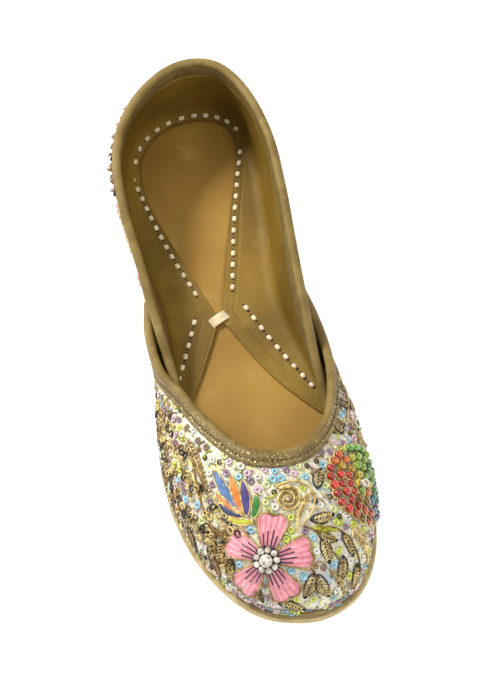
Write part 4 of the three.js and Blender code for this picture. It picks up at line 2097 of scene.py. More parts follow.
def curve_through(places: list[tuple[float, float]], count: int) -> Points:
    """A smooth line through a few drawn places.

    Args:
        places: The places.
        count: Number of points on the line.

    Returns:
        The points.
    """
    rows = tuple((float(step), *place) for step, place in enumerate(places))
    table = CubicTable(("step", "a", "b"), rows)
    where = np.linspace(0, len(places) - 1, count)
    return np.stack([table.at("a", where), table.at("b", where)], 1)


@dataclass
class SatinFlower:
    """Five padded satin petals with dark rays, purl outlines and a pearl cluster."""

    petals: int = 5
    inner: float = 4.4
    outer: float = 17.2
    root: float = 2.5
    width: float = 6.3
    strands: int = 22
    pearl: float = 2.7
    small: float = 1.35

    def tip(self, y: Points) -> Points:
        """How far out a petal reaches across its width."""
        return self.outer - 2.9 * np.abs(y) ** 3.2 - 1.0 * np.exp(-((y / 0.28) ** 2))

    def sew(self, work: Needlework, patch: Patch, turn: float) -> None:
        """Sews the flower.

        Args:
            work: Collects the strands and beads.
            patch: Where it goes.
            turn: Heading of the first petal, in degrees.
        """
        for petal in range(self.petals):
            self.petal(work, patch, turned(math.radians(turn + 360 * petal / self.petals)))
        self.heart(work, patch)

    def petal(self, work: Needlework, patch: Patch, spin: Points) -> None:
        """Sews one petal, turned by spin.

        Args:
            work: Collects the work.
            patch: Where it goes.
            spin: Turns the drawn petal.
        """
        share = np.linspace(0, 1, 9)
        for index, y in enumerate(np.linspace(-1, 1, self.strands)):
            reach = self.tip(np.array(y))
            out = self.inner + (reach - self.inner) * share
            side = y * (self.root + (self.width - self.root) * share**0.85)
            dome = 0.3 + 0.75 * (1 - 0.7 * y * y) * np.sin(np.pi * (0.1 + 0.82 * share)) ** 0.6
            # Every other strand is painted lighter or darker pink: painted highlight and shade that set the
            # satin strands apart.
            tint = (Thread.PINK, "FFBDC6", Thread.PINK, Thread.ROSE)[index % 4]
            work.silk(patch.lay(np.stack([out, side], 1) @ spin, dome), 0.33, tint)
        for y, length in ((-0.62, 0.46), (-0.22, 0.62), (0.2, 0.58), (0.6, 0.48)):
            part = share * length
            out = self.inner - 0.6 + (self.tip(np.array(y)) - self.inner) * part
            side = y * (self.root + (self.width - self.root) * part**0.85)
            work.silk(patch.lay(np.stack([out, side], 1) @ spin, 1.22), 0.3, Thread.PLUM)
        y = np.linspace(-1.07, 1.07, 25)
        rim = np.stack([self.tip(np.clip(y, -1, 1)) + 0.55, y * self.width], 1)
        left = np.linspace((self.inner, -self.root), rim[0], 8)
        right = np.linspace(rim[-1], (self.inner, self.root), 8)
        outline = np.concatenate([left[:-1], rim, right[1:]])
        work.purl(patch.lay(outline @ spin, 0.45), 0.56, Thread.ANTIQUE, 0.3)

    def heart(self, work: Needlework, patch: Patch) -> None:
        """Sews the dark ground and the pearls of the flower's heart.

        Args:
            work: Collects the work.
            patch: Where it goes.
        """
        for angle in np.linspace(0, 2 * math.pi, 26)[:-1]:
            line = np.linspace((1.0, 0.0), (self.inner + 1.2, 0.0), 5)
            tint = "20322A" if math.sin(angle * 3) > 0 else Thread.PLUM
            work.silk(patch.lay(line @ turned(angle), 0.75), 0.34, tint)
        ring = circle(np.linspace(0, 2 * math.pi, 10)[:-1]) * (self.pearl + self.small * 0.86)
        work.beads(patch, ring, 0.9, self.small, "F1ECDD")
        work.beads(patch, MIDDLE, 0.9, self.pearl, "F4EFDF")


def lens_outline(along: Points, arch: Points, half: Points) -> Points:
    """A closed line there and back, half a width to each side of an arch."""
    back = np.stack([along, arch - half], 1)[::-1]
    return np.concatenate([np.stack([along, arch + half], 1), back[1:]])


@dataclass
class SatinLens:
    """A pointed lens of satin stitch that runs from start to finish, with an outline."""

    start: Place
    finish: Place
    width: float
    tint: str
    bow: float = 0.0
    edge: str = Thread.DARK
    fullness: float = 0.62

    def sew(self, work: Needlework) -> None:
        """Sews the lens.

        Args:
            work: Collects the work.
        """
        patch, length = work.chart.between(self.start, self.finish)
        share = np.linspace(0, 1, 11)
        along = (share - 0.5) * length
        shape = np.sin(np.pi * share) ** self.fullness * self.width / 2
        arch = self.bow * np.sin(np.pi * share)
        strands = max(5, int(self.width / 0.46))
        for y in np.linspace(-0.9, 0.9, strands):
            drawn = np.stack([along, arch + y * shape], 1)
            dome = 0.35 + 0.55 * (1 - y * y) * np.sin(np.pi * share) ** 0.5
            work.silk(patch.lay(drawn, dome), 0.33, self.tint)
        work.purl(patch.lay(lens_outline(along, arch, shape), 0.8), 0.3, self.edge)


@dataclass
class Leaf:
    """A metal-thread leaf: dark outline, a vein and slanting purl on both sides of it."""

    start: Place
    finish: Place
    width: float = 4.6
    bow: float = 0.6
    edge: str = Thread.DARK
    fill: str = Thread.GOLD

    def sew(self, work: Needlework) -> None:
        """Sews the leaf.

        Args:
            work: Collects the work.
        """
        patch, length = work.chart.between(self.start, self.finish)
        share = np.linspace(0, 1, 15)
        shape = np.sin(np.pi * share**0.85) ** 0.85 * self.width / 2
        along = (share - 0.5) * length
        arch = self.bow * np.sin(np.pi * share)
        work.purl(patch.lay(lens_outline(along, arch, shape), 0.5), 0.32, self.edge, 0.12)
        work.purl(patch.lay(np.stack([along, arch], 1), 0.62), 0.26, self.edge)
        for place in np.linspace(0.16, 0.8, max(3, int(length / 1.6))):
            half = float(np.interp(place, share, shape)) * 0.88
            middle = float(np.interp(place, share, arch))
            for side in (-1, 1):
                root = np.array([(place - 0.5) * length, middle])
                tip = root + np.array([half * 0.85, side * half])
                work.purl(patch.lay(np.linspace(root, tip, 4), 0.55), 0.34, self.fill)


@dataclass
class Fern:
    """A curved stem with pairs of small purl loops."""

    start: Place
    finish: Place
    width: float = 6.0
    bow: float = 1.2
    pairs: int = 7
    tint: str = Thread.GOLD

    def sew(self, work: Needlework) -> None:
        """Sews the fern.

        Args:
            work: Collects the work.
        """
        patch, length = work.chart.between(self.start, self.finish)
        share = np.linspace(0, 1, 13)
        along = (share - 0.5) * length
        arch = self.bow * np.sin(np.pi * share)
        work.purl(patch.lay(np.stack([along, arch], 1), 0.55), 0.42, self.tint)
        for place in np.linspace(0.12, 0.9, self.pairs):
            root = np.array([(place - 0.5) * length, self.bow * math.sin(math.pi * place)])
            reach = self.width / 2 * (1.12 - 0.75 * place)
            for side in (-1, 1):
                turn = np.linspace(0, 2 * math.pi, 10)
                out = np.array([0.75, side * 0.66]) * reach
                wide = np.array([-side * 0.66, 0.75]) * reach * 0.24
                loop = root + out * (1 - np.cos(turn))[:, None] / 2 + wide * np.sin(turn)[:, None]
                work.purl(patch.lay(loop, 0.5), 0.34, self.tint)


@dataclass
class Spiral:
    """A scroll of double purl that unrolls into a stem."""

    centre: Place
    stem: tuple[Place, ...]
    radius: float = 5.4
    turns: float = 2.1
    sense: float = 1.0
    tint: str = Thread.GOLD

    def sew(self, work: Needlework) -> None:
        """Sews the scroll and its stem.

        Args:
            work: Collects the work.
        """
        patch = work.chart.patch(self.centre, self.stem[0])
        share = np.linspace(0, 1, 70)
        angle = self.sense * (share - 1) * self.turns * 2 * math.pi
        reach = 0.7 + (self.radius - 0.7) * share
        drawn = circle(angle) * reach[:, None]
        work.purl(patch.lay(drawn, 0.62), 0.52, self.tint)
        inner = drawn * ((reach - 0.95) / reach)[:, None]
        work.purl(patch.lay(inner[16:], 0.45), 0.36, Thread.ANTIQUE)
        flat = [tuple(drawn[-6]), tuple(drawn[-1]), *(patch.drawn(place) for place in self.stem)]
        work.purl(patch.lay(curve_through(flat, 14 * len(flat)), 0.6), 0.5, self.tint)
        work.beads(patch, MIDDLE, 0.3, 1.1, "D9CFA6")


CENTRE_TINTS = ("C9B31E", "7FA622", "E0701C")
ROSETTE_TINTS = (
    (28, ("C2571A", "9A7A2A", "CF3A16")),
    (112, ("D22414", "E03A1C", "B8160F")),
    (146, ("E0701C", "C8A01A", "D24A12")),
    (212, ("8CB01E", "5F9A1C", "C2BE2A")),
    (292, ("2F8A34", "6AA024", "3E7E2A")),
    (332, ("16707C", "6A4A72", "1C7A68")),
    (361, ("C2571A", "16707C", "9A7A2A")),
)


@dataclass
class BeadRosette:
    """Rings of glass beads laced with gold, round one pearl; the colours turn with the rings."""

    rings: int = 4
    gap: float = 3.75
    bead: float = 1.8

    def tint(self, ring: int, angle: float, chance: float) -> str:
        """Colour of a bead.

        Args:
            ring: Ring number, from 1.
            angle: Degrees round from the toe side towards the throat side.
            chance: A number from 0 to 1.

        Returns:
            The colour.
        """
        sector = next(tints for limit, tints in ROSETTE_TINTS if angle < limit)
        tints = CENTRE_TINTS if ring == 1 else sector
        return tints[int(chance * len(tints))]

    def sew(self, work: Needlework, patch: Patch) -> None:
        """Sews the rosette.

        Args:
            work: Collects the beads and strands.
            patch: Where it goes, its first axis to the toe and its second to the throat.
        """
        work.beads(patch, MIDDLE, 0.4, 2.1, "EDE6D2")
        for ring in range(1, self.rings + 1):
            count = round(2 * math.pi * ring * self.gap / (2.02 * self.bead))
            for step in range(count):
                angle = 360 * (step + 0.5 * (ring % 2)) / count
                radians = math.radians(angle)
                reach = ring * self.gap * (1 + 0.02 * work.random.standard_normal())
                place = np.array([[math.cos(radians), -math.sin(radians)]]) * reach
                tint = self.tint(ring, angle, work.random.random() * 0.999)
                size = self.bead * work.random.uniform(0.88, 1.04)
                work.beads(patch, place, 0.35, size, tint, 0.9)
                self.lace(work, patch, place, radians)

    def lace(self, work: Needlework, patch: Patch, place: Points, angle: float) -> None:
        """Lays a gold thread half round one bead.

        Args:
            work: Collects the work.
            patch: Where it goes.
            place: Drawn place of the bead.
            angle: The way to it from the pearl.
        """
        turn = np.linspace(-1.9, 1.9, 9) + angle
        loop = place + np.stack([np.cos(turn), -np.sin(turn)], 1) * (self.bead + 0.12)
        work.purl(patch.lay(loop, 1.35), 0.32, Thread.GOLD, 0.2)


@dataclass
class LoopChain:
    """A dense run of three-looped purl knots along a wall."""

    stations: tuple[float, float]
    rises: tuple[float, float]
    count: int
    radius: float = 3.2
    tint: str = Thread.ANTIQUE
    edge: str = Thread.DARK

    def sew(self, work: Needlework) -> None:
        """Sews the loops.

        Args:
            work: Collects the work.
        """
        turn = np.linspace(0, 2 * math.pi, 15)
        drop = np.stack([0.62 * (1 - np.cos(turn)), 0.42 * np.sin(turn)], 1) * self.radius
        share = np.linspace(0, 1, self.count)
        for index, part in enumerate(share):
            station = self.stations[0] + (self.stations[1] - self.stations[0]) * part
            rise = self.rises[0] + (self.rises[1] - self.rises[0]) * part
            rise += work.random.uniform(-0.06, 0.06)
            towards = work.chart.at(station + 0.3, rise + 0.02)
            patch = work.chart.patch(work.chart.at(station, rise), towards)
            lean = work.random.uniform(0, 2 * math.pi)
            for petal in range(3):
                tint = (self.tint, Thread.BRONZE, Thread.GOLD, self.edge)[(index + petal) % 4]
                points = patch.lay(drop @ turned(lean + petal * 2.1), 0.5 + 0.3 * petal)
                work.purl(points, 0.34, tint, 0.25)


class Neighbours:
    """Points kept in cubes, so that the nearest one is quickly found."""

    def __init__(self, side: float = 4.0) -> None:
        """Starts with no points."""
        self.side = side
        self.cubes: dict[tuple[int, ...], list[Points]] = {}

    def add(self, point: Points) -> None:
        """Adds a point."""
        self.cubes.setdefault(tuple((point // self.side).astype(int)), []).append(point)

    def nearest(self, place: Points) -> float:
        """Distance from a place to the nearest point in the cubes round it.

        Args:
            place: A place.

        Returns:
            The distance, or infinity if there is none near.
        """
        corner = (place // self.side).astype(int) - 1
        close = (
            np.linalg.norm(point - place)
            for shift in np.ndindex(3, 3, 3)
            for point in self.cubes.get(tuple(corner + shift), ())
        )
        return min(close, default=math.inf)


@dataclass
class SequinGround:
    """Ring sequins and seed beads that fill the ground between the motifs."""

    spacing: float = 3.2
    clear: float = 1.75
    plain: float = 7.6
    tries: int = 24000
    seeds: int = 260
    seed_clear: float = 1.1
    seed_spacing: float = 2.0
    rows: tuple[float, ...] = (1.9, 4.7)
    matching: float = 0.62
    straying: float = 0.16
    stray: float = 2.0

    def tint(self, work: Needlework, point: Points) -> str:
        """Picks a sequin's colour; neighbours tend to match.

        Args:
            work: Its random numbers are drawn.
            point: Place of the sequin.

        Returns:
            The colour.
        """
        chance = 0.5 + 0.75 * noise.noise(Vector(point / 8.5)) + 0.32 * (work.random.random() - 0.5)
        chance = min(max(chance * 1.25 - 0.1, 0.0), 0.999)
        if work.random.random() >= self.matching:
            chance = work.random.random()
        total = 0.0
        for code, share in SEQUIN_TINTS:
            total += share
            if chance <= total:
                return code
        return SEQUIN_TINTS[0][0]

    def place(self, work: Needlework, point: Points, normal: Points) -> None:
        """Sews one sequin, a little tipped, with its stitch.

        Args:
            work: Collects the work.
            point: Its place on the wall.
            normal: The way the wall faces.
        """
        up = unit(normal + work.random.normal(0, 0.13, 3))
        along = unit(np.cross(up, work.random.normal(0, 1, 3)))
        size = work.random.uniform(0.88, 1.1)
        tint = self.tint(work, point)
        work.sequins.sew(point + normal * 0.32, up, along, (size, size, size), tint)

    def edge_rows(self, work: Needlework, sewn: Neighbours) -> None:
        """Sews the rows that follow the sole line.

        Args:
            work: Collects the sequins.
            sewn: Keeps their places.
        """
        wall = work.chart.wall
        station = np.linspace(wall.first + 0.12, wall.final - 0.12, 2400)
        length = wall.length(station)
        for row, height in enumerate(self.rows):
            points = wall.at_depth(station, height / length, 0.0)
            normals = wall.normal(station, height / length)
            run = running_length(points)
            where = np.arange(1.0 + row * 1.4, run[-1] - 1.0, self.spacing * 0.97)
            for index in np.searchsorted(run, where):
                if length[index] > height + self.plain - 1.5:
                    self.place(work, points[index], normals[index])
                    sewn.add(points[index])

    def clear_places(
        self, work: Needlework, places: list[tuple[Points, Points, float]], motifs: KDTree
    ) -> Iterator[tuple[Points, Points, float]]:
        """Goes through the places that aren't too close to the binding.

        Args:
            work: Its random numbers let a few places stray nearer.
            places: Points, the wall's normals there and the distances below the top edge.
            motifs: Everything sewn before the ground.

        Yields:
            A point, its normal and the distance to the nearest motif.
        """
        for point, normal, below in places:
            stray = self.stray if work.random.random() < self.straying else 0.0
            if below >= self.plain - stray:
                yield point, normal, motifs.find(point.tolist())[2]

    def sew(self, work: Needlework) -> None:
        """Fills the ground with sequins, then the gaps between them with seed beads.

        Args:
            work: Collects the work.
        """
        taken = np.concatenate(work.taken).tolist()
        motifs = KDTree(len(taken))
        for index, point in enumerate(taken):
            motifs.insert(point, index)
        motifs.balance()
        sewn = Neighbours()
        self.edge_rows(work, sewn)
        wall = work.chart.wall
        station = work.random.uniform(wall.first + 0.1, wall.final - 0.1, self.tries)
        rise = work.random.uniform(0.02, 1.0, self.tries)
        below = (1 - rise) * wall.length(station)
        places = list(zip(wall.at_depth(station, rise, 0.0), wall.normal(station, rise), below))
        for point, normal, space in self.clear_places(work, places, motifs):
            room = space > self.clear
            if room and sewn.nearest(point) > self.spacing * work.random.uniform(0.92, 1.06):
                self.place(work, point, normal)
                sewn.add(point)
        seeds = 0
        for point, normal, space in self.clear_places(work, places, motifs):
            room = seeds < self.seeds and space > self.seed_clear
            if room and sewn.nearest(point) > self.seed_spacing:
                tint = SEED_TINTS[int(work.random.random() * len(SEED_TINTS))]
                work.bead(point, normal, work.random.uniform(0.5, 0.72), tint)
                sewn.add(point)
                seeds += 1


VAMP_STEMS = (
    (
        (10.5, 222.5, 36.4), (14.5, 225.2, 34.4), (17.6, 231.0, 31.6), (20.8, 236.0, 27.2),
        (20.4, 241.5, 23.0),
    ),
    (
        (14.5, 225.2, 34.4), (20.0, 224.0, 33.8), (25.6, 227.0, 30.2), (28.6, 233.6, 24.4),
        (28.4, 240.0, 18.0),
    ),
    ((9.4, 237.4, 30.2), (10.8, 240.0, 28.4), (10.0, 246.5, 23.6)),
    (
        (-20.0, 218.0, 32.4), (-25.2, 213.4, 31.6), (-27.2, 204.0, 31.6), (-27.0, 192.0, 32.2),
        (-26.2, 180.0, 31.6),
    ),
    ((-19.4, 220.0, 32.0), (-24.6, 223.4, 27.0), (-27.6, 229.6, 18.6)),
)
SCROLL_ARM = (
    (3.4, 205.6, 40.4), (9.6, 204.6, 40.4), (14.8, 206.7, 39.4), (16.9, 212.1, 38.4),
    (14.7, 217.6, 37.4), (9.4, 222.6, 36.6),
)


@dataclass
class VampEmbroidery:
    """The design on the vamp: flower, bud, scrolls, rosette, leaves and ground."""

    work: Needlework

    def sew(self) -> None:
        """Sews the whole design."""
        chart = self.work.chart
        flower = chart.patch((-6.1, 231.3, 32.4), (-0.4, 216.7, 38.3))
        SatinFlower().sew(self.work, flower, 0.0)
        self.bud()
        rosette = chart.patch((36.4, 206.0, 25.0), (33.6, 224.0, 22.0))
        BeadRosette().sew(self.work, rosette)
        self.scrolls()
        self.leaves()
        self.lateral_border()
        self.medial_sprig()
        for places in VAMP_STEMS:
            self.work.stem(places, 0.42, Thread.BRONZE)
        Tendrils(64, (0.12, 0.86)).sew(self.work)
        SequinGround().sew(self.work)

    def bud(self) -> None:
        """Sews the striped bud beside the flower."""
        for lens in (
            SatinLens((-12.2, 212.9, 37.4), (-18.9, 191.6, 36.6), 4.4, Thread.BLUE, 0.7, Thread.GOLD),
            SatinLens((-12.0, 213.9, 37.4), (-12.9, 196.6, 38.9), 3.3, Thread.ORANGE, 0.2, Thread.GOLD),
            SatinLens((-10.4, 214.6, 37.5), (-9.0, 199.6, 39.9), 3.7, Thread.VIOLET, -0.4, Thread.GOLD),
            SatinLens((-8.4, 215.9, 37.5), (-5.2, 206.8, 39.6), 3.2, Thread.GREEN, -0.8, Thread.GOLD),
            SatinLens((-13.2, 212.2, 37.0), (-19.9, 201.2, 35.6), 2.5, Thread.ORANGE, 0.3, Thread.GOLD),
            SatinLens((-11.6, 214.4, 37.0), (-20.0, 205.2, 35.0), 3.9, Thread.NAVY, 0.5, Thread.GOLD),
            SatinLens((-18.2, 211.4, 34.6), (-8.0, 217.2, 37.4), 2.7, Thread.LIME, -0.7, Thread.GOLD),
        ):
            lens.sew(self.work)

    def scrolls(self) -> None:
        """Sews the gold scroll above the flower and the one on the medial side."""
        Spiral((6.4, 211.3, 39.4), SCROLL_ARM, 5.4, 2.3, 1.0).sew(self.work)
        Fern((15.9, 210.0, 38.8), (7.2, 224.2, 36.2), 4.2, -1.6, 9).sew(self.work)
        chart = self.work.chart
        stem = (chart.at(17.55, 0.62), chart.at(17.9, 0.6), chart.at(18.3, 0.5), chart.at(19.3, 0.42))
        Spiral(chart.at(17.25, 0.3), stem, 5.2, 2.2, -1.0, Thread.ANTIQUE).sew(self.work)

    def leaves(self) -> None:
        """Sews the leaves and ferns round the toe."""
        for leaf in (
            Leaf((18.9, 209.0, 38.4), (22.8, 200.6, 38.6), 4.2, 0.5),
            Leaf((13.3, 220.7, 36.6), (23.2, 219.4, 34.4), 4.0, -0.6),
            Leaf((15.0, 225.8, 34.2), (21.8, 229.1, 31.0), 3.6, -0.6),
            Leaf((15.8, 227.6, 33.2), (16.6, 236.8, 29.0), 4.2, 0.5),
            Leaf((22.6, 234.4, 28.0), (18.4, 243.0, 23.0), 4.2, 0.6),
            Leaf((24.0, 226.0, 30.4), (26.4, 234.6, 25.0), 3.6, 0.5),
            Leaf((27.0, 236.4, 22.4), (25.2, 245.6, 14.6), 4.2, -0.6),
            Leaf((10.2, 239.2, 29.0), (4.6, 247.4, 23.6), 4.6, 0.6),
            Leaf((11.6, 239.8, 28.4), (14.6, 248.0, 21.4), 4.6, -0.6),
            Leaf((-5.6, 246.0, 20.8), (4.4, 249.6, 17.4), 4.2, 0.7),
            Leaf((-26.4, 211.8, 31.6), (-31.6, 212.6, 27.4), 3.8, 0.4),
            Leaf((-24.2, 215.6, 31.6), (-31.2, 217.4, 25.8), 4.0, 0.4),
            Leaf((-24.4, 219.2, 29.6), (-30.2, 221.8, 22.4), 4.4, 0.5),
            Leaf((-21.8, 219.4, 31.4), (-25.8, 226.6, 24.4), 4.2, -0.5),
            Leaf((-19.8, 225.6, 29.4), (-23.6, 233.4, 19.6), 3.8, 0.5),
        ):
            leaf.sew(self.work)
        Fern((27.4, 223.6, 29.6), (33.6, 236.2, 14.6), 7.2, 1.4, 7).sew(self.work)
        Fern((13.2, 223.6, 35.6), (22.6, 225.0, 33.0), 4.4, -0.6, 6, Thread.LIME).sew(self.work)
        Fern((16.0, 238.0, 27.4), (20.6, 246.0, 16.8), 4.2, 0.6, 5, Thread.ANTIQUE).sew(self.work)
        Fern((-16.8, 221.6, 33.8), (-25.8, 212.0, 31.0), 5.6, 1.0, 7, Thread.BRONZE).sew(self.work)

    def lateral_border(self) -> None:
        """Sews the antique gold loops and ferns down the lateral side."""
        LoopChain((7.35, 11.2), (0.44, 0.34), 22, 2.6).sew(self.work)
        LoopChain((7.9, 11.5), (0.62, 0.56), 18, 2.4, Thread.GOLD).sew(self.work)
        chart = self.work.chart
        for station in (7.7, 8.5, 9.2, 9.9, 10.6, 11.2, 11.7):
            ends = chart.at(station, 0.3), chart.at(station + 0.34, 0.14)
            Leaf(*ends, 4.0, 0.5, fill=Thread.BRONZE).sew(self.work)
        Fern((-27.2, 172.5, 29.0), (-23.4, 198.4, 33.6), 7.0, 1.2, 11, Thread.ANTIQUE).sew(self.work)

    def medial_sprig(self) -> None:
        """Sews the leaf sprig that runs down the medial wing."""
        chart = self.work.chart
        places = (
            ((17.05, 0.74), (17.45, 0.82), 4.6),
            ((17.9, 0.6), (18.12, 0.76), 4.8),
            ((17.95, 0.52), (18.15, 0.24), 4.6),
            ((18.35, 0.5), (18.6, 0.68), 4.4),
            ((18.4, 0.46), (18.6, 0.18), 4.6),
            ((18.8, 0.46), (19.02, 0.62), 4.2),
            ((18.85, 0.42), (19.05, 0.16), 4.2),
            ((19.2, 0.42), (19.46, 0.42), 3.8),
        )
        for start, finish, width in places:
            ends = chart.at(*start), chart.at(*finish)
            Leaf(*ends, width, 0.6, fill=Thread.ANTIQUE).sew(self.work)


@dataclass
class QuarterEmbroidery:
    """The design on the quarter: a gold vine with leaves, bead flowers and the ground."""

    work: Needlework
    waves: float = 4.5
    height: float = 0.46
    swing: float = 0.14

    def rise_at(self, station: float) -> float:
        """How high the vine runs at a station."""
        return self.height + self.swing * math.sin((station - 18) * 2 * math.pi / 15 * self.waves)

    def sew(self) -> None:
        """Sews the whole design."""
        self.vine()
        for station in (20.9, 22.4, 24.1, 26.0, 27.9, 29.6, 31.1):
            self.bead_flower(station)
        self.heel_cluster()
        Tendrils(34, (0.15, 0.7)).sew(self.work)
        SequinGround(tries=22000, seeds=200, rows=(2.0, 5.0)).sew(self.work)

    def heel_cluster(self) -> None:
        """Sews the thick run of purl loops and beads under the rim at the outer side of the heel."""
        chart, work = self.work.chart, self.work
        for index, station in enumerate(np.arange(26.5, 29.6, 0.11)):
            rise = 0.8 - 0.07 * (index % 2)
            patch = chart.patch(chart.at(station, rise), chart.at(station + 0.2, rise))
            turn = np.linspace(0, 3 * math.pi, 26) + index * 1.3
            drawn = circle(turn) * np.linspace(0.7, 2.1, 26)[:, None]
            thread = (Thread.ANTIQUE, Thread.DARK, Thread.BRONZE)[index % 3]
            work.purl(patch.lay(drawn, np.linspace(2.4, 1.0, 26)), 0.42, thread, 0.25)
            tint = ("EBC6CC", "F1ECDD", "8A7C78")[index % 3]
            work.beads(patch, MIDDLE, 1.2 + 0.8 * (index % 3 == 0), 1.1, tint)

    def vine(self) -> None:
        """Sews the stem and its leaves."""
        chart = self.work.chart
        station = np.linspace(19.4, 32.3, 260)
        rise = np.array([self.rise_at(value) for value in station])
        points = chart.wall.at_depth(station, rise, -0.55)
        for start in range(0, 260, 52):
            self.work.purl(points[start : start + 53], 0.5, Thread.GOLD)
        for index, value in enumerate(np.arange(19.7, 32.2, 0.42)):
            rise_here, side = self.rise_at(value), (-1) ** index
            start = chart.at(value, rise_here)
            finish = chart.at(value + 0.3, min(max(rise_here + side * 0.26, 0.12), 0.78))
            tint = (Thread.ANTIQUE, Thread.GOLD, Thread.BRONZE)[index % 3]
            Leaf(start, finish, 4.2, 0.5 * side, fill=tint).sew(self.work)

    def bead_flower(self, station: float) -> None:
        """Sews a small flower of beads beside the vine.

        Args:
            station: Place along the wall.
        """
        chart = self.work.chart
        rise = self.rise_at(station)
        rise = rise + 0.2 if rise < self.height else rise - 0.2
        patch = chart.patch(chart.at(station, rise), chart.at(station + 0.2, rise))
        ring = circle(np.linspace(0, 2 * math.pi, 7)[:-1]) * 2.9
        self.work.beads(patch, ring, 0.2, 1.4, "E58FA0", 0.9)
        self.work.beads(patch, MIDDLE, 0.3, 1.5, "F1ECDD")


TAB_LEVELS = (
    (1.0, 0.02), (1.03, 0.3), (0.99, 0.7), (0.9, 0.95), (0.7, 1.05), (0.4, 1.1), (0.02, 1.12),
)


@dataclass
class ToeTab:
    """The small leather tab that laps up over the tip of the toe."""

    length: float = 11.0
    width: float = 8.2
    thickness: float = 1.2

    def build(self, chart: Chart, leather: bpy.types.Material) -> bpy.types.Object:
        """Builds the tab.

        Args:
            chart: The vamp's surface.
            leather: Its finish.

        Returns:
            The piece.
        """
        patch = chart.patch((6.8, 249.8, 12.6), (14.0, 248.6, 13.4))
        angle = np.linspace(0, 2 * math.pi, 49)[:-1]
        shape = 1 + 0.16 * np.cos(2 * angle)
        drawn = circle(angle) * (self.length / 2, self.width / 2)
        drawn[:, 1] *= shape
        rings = [patch.lay(drawn * reach, lift * self.thickness) for reach, lift in TAB_LEVELS]
        sheet = MeshSheet(chart.last)
        sheet.tube(np.array(rings))
        return settle(sheet.piece("toe_tab", [leather]), "sole_leather")


# --------------------------------------------------------------------------- studio

@dataclass(frozen=True)
class SoftLight:
    """One soft box."""

    name: str
    place: tuple[float, float, float]
    size: tuple[float, float]
    power: float
    colour: Colour = (1.0, 1.0, 1.0)

    def build(self, aim: Vector) -> None:
        """Sets the light up, turned to the shoe.

        Args:
            aim: Where it points.
        """
        data = bpy.data.lights.new(self.name, "AREA")
        data.shape = "RECTANGLE"
        data.size, data.size_y = self.size
        data.energy = self.power
        data.color = self.colour
        light = new_object(self.name, data)
        light.location = self.place
        light.rotation_euler = (aim - Vector(self.place)).to_track_quat("-Z", "Y").to_euler()


@dataclass
class Studio:
    """Pale floor, soft boxes and the camera, which looks down on the shoe from its toe."""

    eye: tuple[float, float, float] = (-0.02146, -0.35090, 0.69400)
    aim: tuple[float, float, float] = (0.00035, -0.00288, 0.0200)
    roll: float = -8.71
    lens: float = 96.0
    floor: float = 6.0
    world: float = 0.22
    horizon: float = 0.95

    def build(self) -> None:
        """Sets up the floor, the world, the lights and the camera."""
        self.lay_floor()
        self.light_world()
        aim = Vector(self.aim)
        for light in (
            SoftLight("key_box", (-0.52, 0.62, 0.76), (0.26, 0.26), 14.0, (1.0, 0.99, 0.965)),
            SoftLight("top_box", (0.15, 0.3, 1.6), (1.2, 1.2), 6.5),
            SoftLight("front_box", (0.5, -0.9, 1.1), (0.8, 0.8), 9.0),
        ):
            light.build(aim)
        data = bpy.data.cameras.new("camera")
        data.lens = self.lens
        camera = new_object("camera", data)
        camera.location = self.eye
        look = (aim - Vector(self.eye)).to_track_quat("-Z", "Y").to_matrix()
        turn = Matrix.Rotation(math.radians(self.roll), 3, "Z")
        camera.rotation_euler = (look @ turn).to_euler()
        bpy.context.scene.camera = camera

    def lay_floor(self) -> None:
        """Lays the pale floor."""
        half = self.floor / 2
        mesh = bpy.data.meshes.new("floor")
        corners = [(-half, -half, 0), (half, -half, 0), (half, half, 0), (-half, half, 0)]
        mesh.from_pydata(corners, [], [(0, 1, 2, 3)])
        mesh.materials.append(FloorFinish().make())
        floor = new_object("floor", mesh)

    def light_world(self) -> None:
        """Gives the world a soft white light, brighter low down where it shows behind the floor."""
        world = bpy.data.worlds.new("studio")
        world.use_nodes = True
        bench = NodeBench(world.node_tree)
        way = bench.add("ShaderNodeTexCoord").outputs["Generated"]
        height = bench.add("ShaderNodeSeparateXYZ", {0: way}).outputs[2]
        wires = {"Value": height, "From Min": 0.14, "From Max": 0.3}
        wires |= {"To Min": self.horizon, "To Max": self.world}
        strength = bench.add("ShaderNodeMapRange", wires).outputs[0]
        sky = bench.add("ShaderNodeBackground", {"Color": (1, 1, 1, 1), "Strength": strength})
        bench.add("ShaderNodeOutputWorld", {"Surface": sky.outputs[0]})
        bpy.context.scene.world = world
        bpy.context.scene.view_settings.view_transform = "Standard"


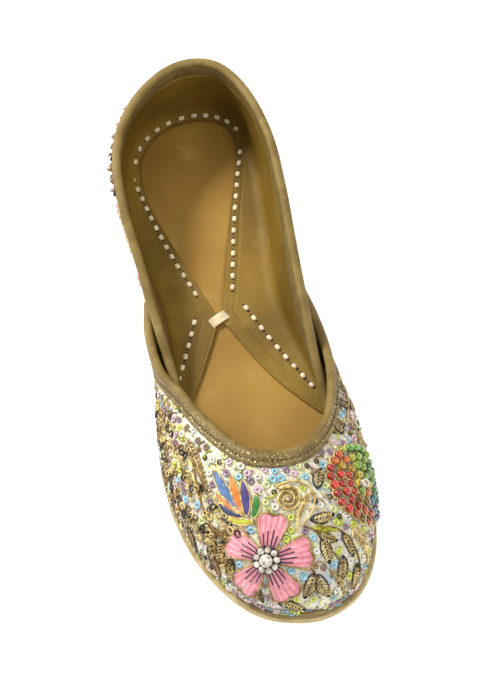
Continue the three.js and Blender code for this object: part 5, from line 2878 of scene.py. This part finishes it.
def embroider(
    last: Last, vamp: Shell, quarter: Shell, strand_tree: StrandTree, trees: dict[Form, ScatterTree]
) -> None:
    """Sews the embroidery on both walls.

    Args:
        last: The last.
        vamp: The vamp.
        quarter: The quarter.
        strand_tree: The tree that makes strands.
        trees: The trees that set small forms.
    """
    satin = ThreadFinish("satin_thread", Lustre.SATIN).make()
    metal = ThreadFinish("metal_thread", Lustre.METAL).make()
    glass, foil = GlassFinish().make(), SequinFinish().make()
    slot = "embroidered_fabric"
    for shell, design, seed in ((vamp, VampEmbroidery, 11), (quarter, QuarterEmbroidery, 23)):
        name = shell.name
        work = Needlework(
            Chart(shell),
            Strands(name + "_satin", satin, slot, 1.1, 1.0, 5),
            Strands(name + "_purl", metal, slot, 0.34, 0.95, 5),
            Scatter(name + "_beads", glass, slot, Form.BEAD, 1.0),
            Scatter(name + "_sequins", foil, slot, Form.RING, 1.6, 0.32),
            np.random.default_rng(seed),
        )
        design(work).sew()
        for strands in (work.satin, work.metal):
            if strands.lines:
                strands.make(last, strand_tree)
        work.glass.make(last, trees[Form.BEAD])
        work.sequins.make(last, trees[Form.RING])


def main() -> None:
    """Builds the shoe, piece by piece, and the studio round it."""
    logging.basicConfig(level=logging.INFO, format="%(name)s: %(message)s")
    Studio().build()
    last = Last()
    sole, insole = SoleLeather().make(), INSOLE.make()
    lining_leather, rim, glitter, silk = LINING.make(), RIM.make(), BINDING.make(), Silk().make()
    Outsole(last, "outsole", OUTSOLE_EDGE, wander=0.22).build([sole], "sole_leather")
    Insole(last, "insole", INSOLE_EDGE).build([insole], "insole_leather")
    vamp, quarter = Wall(last, VAMP_ROWS), Wall(last, QUARTER_ROWS)
    vamp_shell = Shell(vamp, "vamp", VAMP_CREASES, 420, 70, 1.3)
    quarter_shell = Shell(quarter, "quarter", QUARTER_CREASES, 420, 44, 6.1)
    vamp_shell.build(silk, lining_leather)
    quarter_shell.build(silk, lining_leather)
    vamp_edge = Binding(vamp, "vamp_edge", "vamp_binding", 5.0, 3.2)
    quarter_edge = Binding(quarter, "quarter_edge", "quarter_binding", 8.0, 3.2)
    vamp_edge.build(glitter, rim)
    quarter_edge.build(glitter, rim)
    lining = Lining(quarter, quarter_edge)
    lining.build(lining_leather)
    strand_tree = StrandTree()
    trees = {form: ScatterTree(form) for form in Form}
    cotton = ThreadFinish("cotton_thread", Lustre.COTTON).make()
    stitches = Scatter("hand_stitches", cotton, "insole_leather", Form.STITCH, 0.5)
    sewing = HandSewing(lining)
    sewing.rows(stitches)
    sewing.heel_arc(stitches)
    stitches.make(last, trees[Form.STITCH])
    seams = Scatter("binding_stitches", cotton, "binding_leather", Form.STITCH, 0.5)
    for edge in (vamp_edge, quarter_edge):
        edge.sew_seam(seams)
    seams.make(last, trees[Form.STITCH])
    tack = Strands("bar_tack", cotton, "insole_leather", 0.3, 0.7, 8)
    sewing.tack(tack)
    tack.make(last, strand_tree)
    embroider(last, vamp_shell, quarter_shell, strand_tree, trees)
    ToeTab().build(Chart(vamp_shell), rim)


if __name__ == "__main__":
    main()
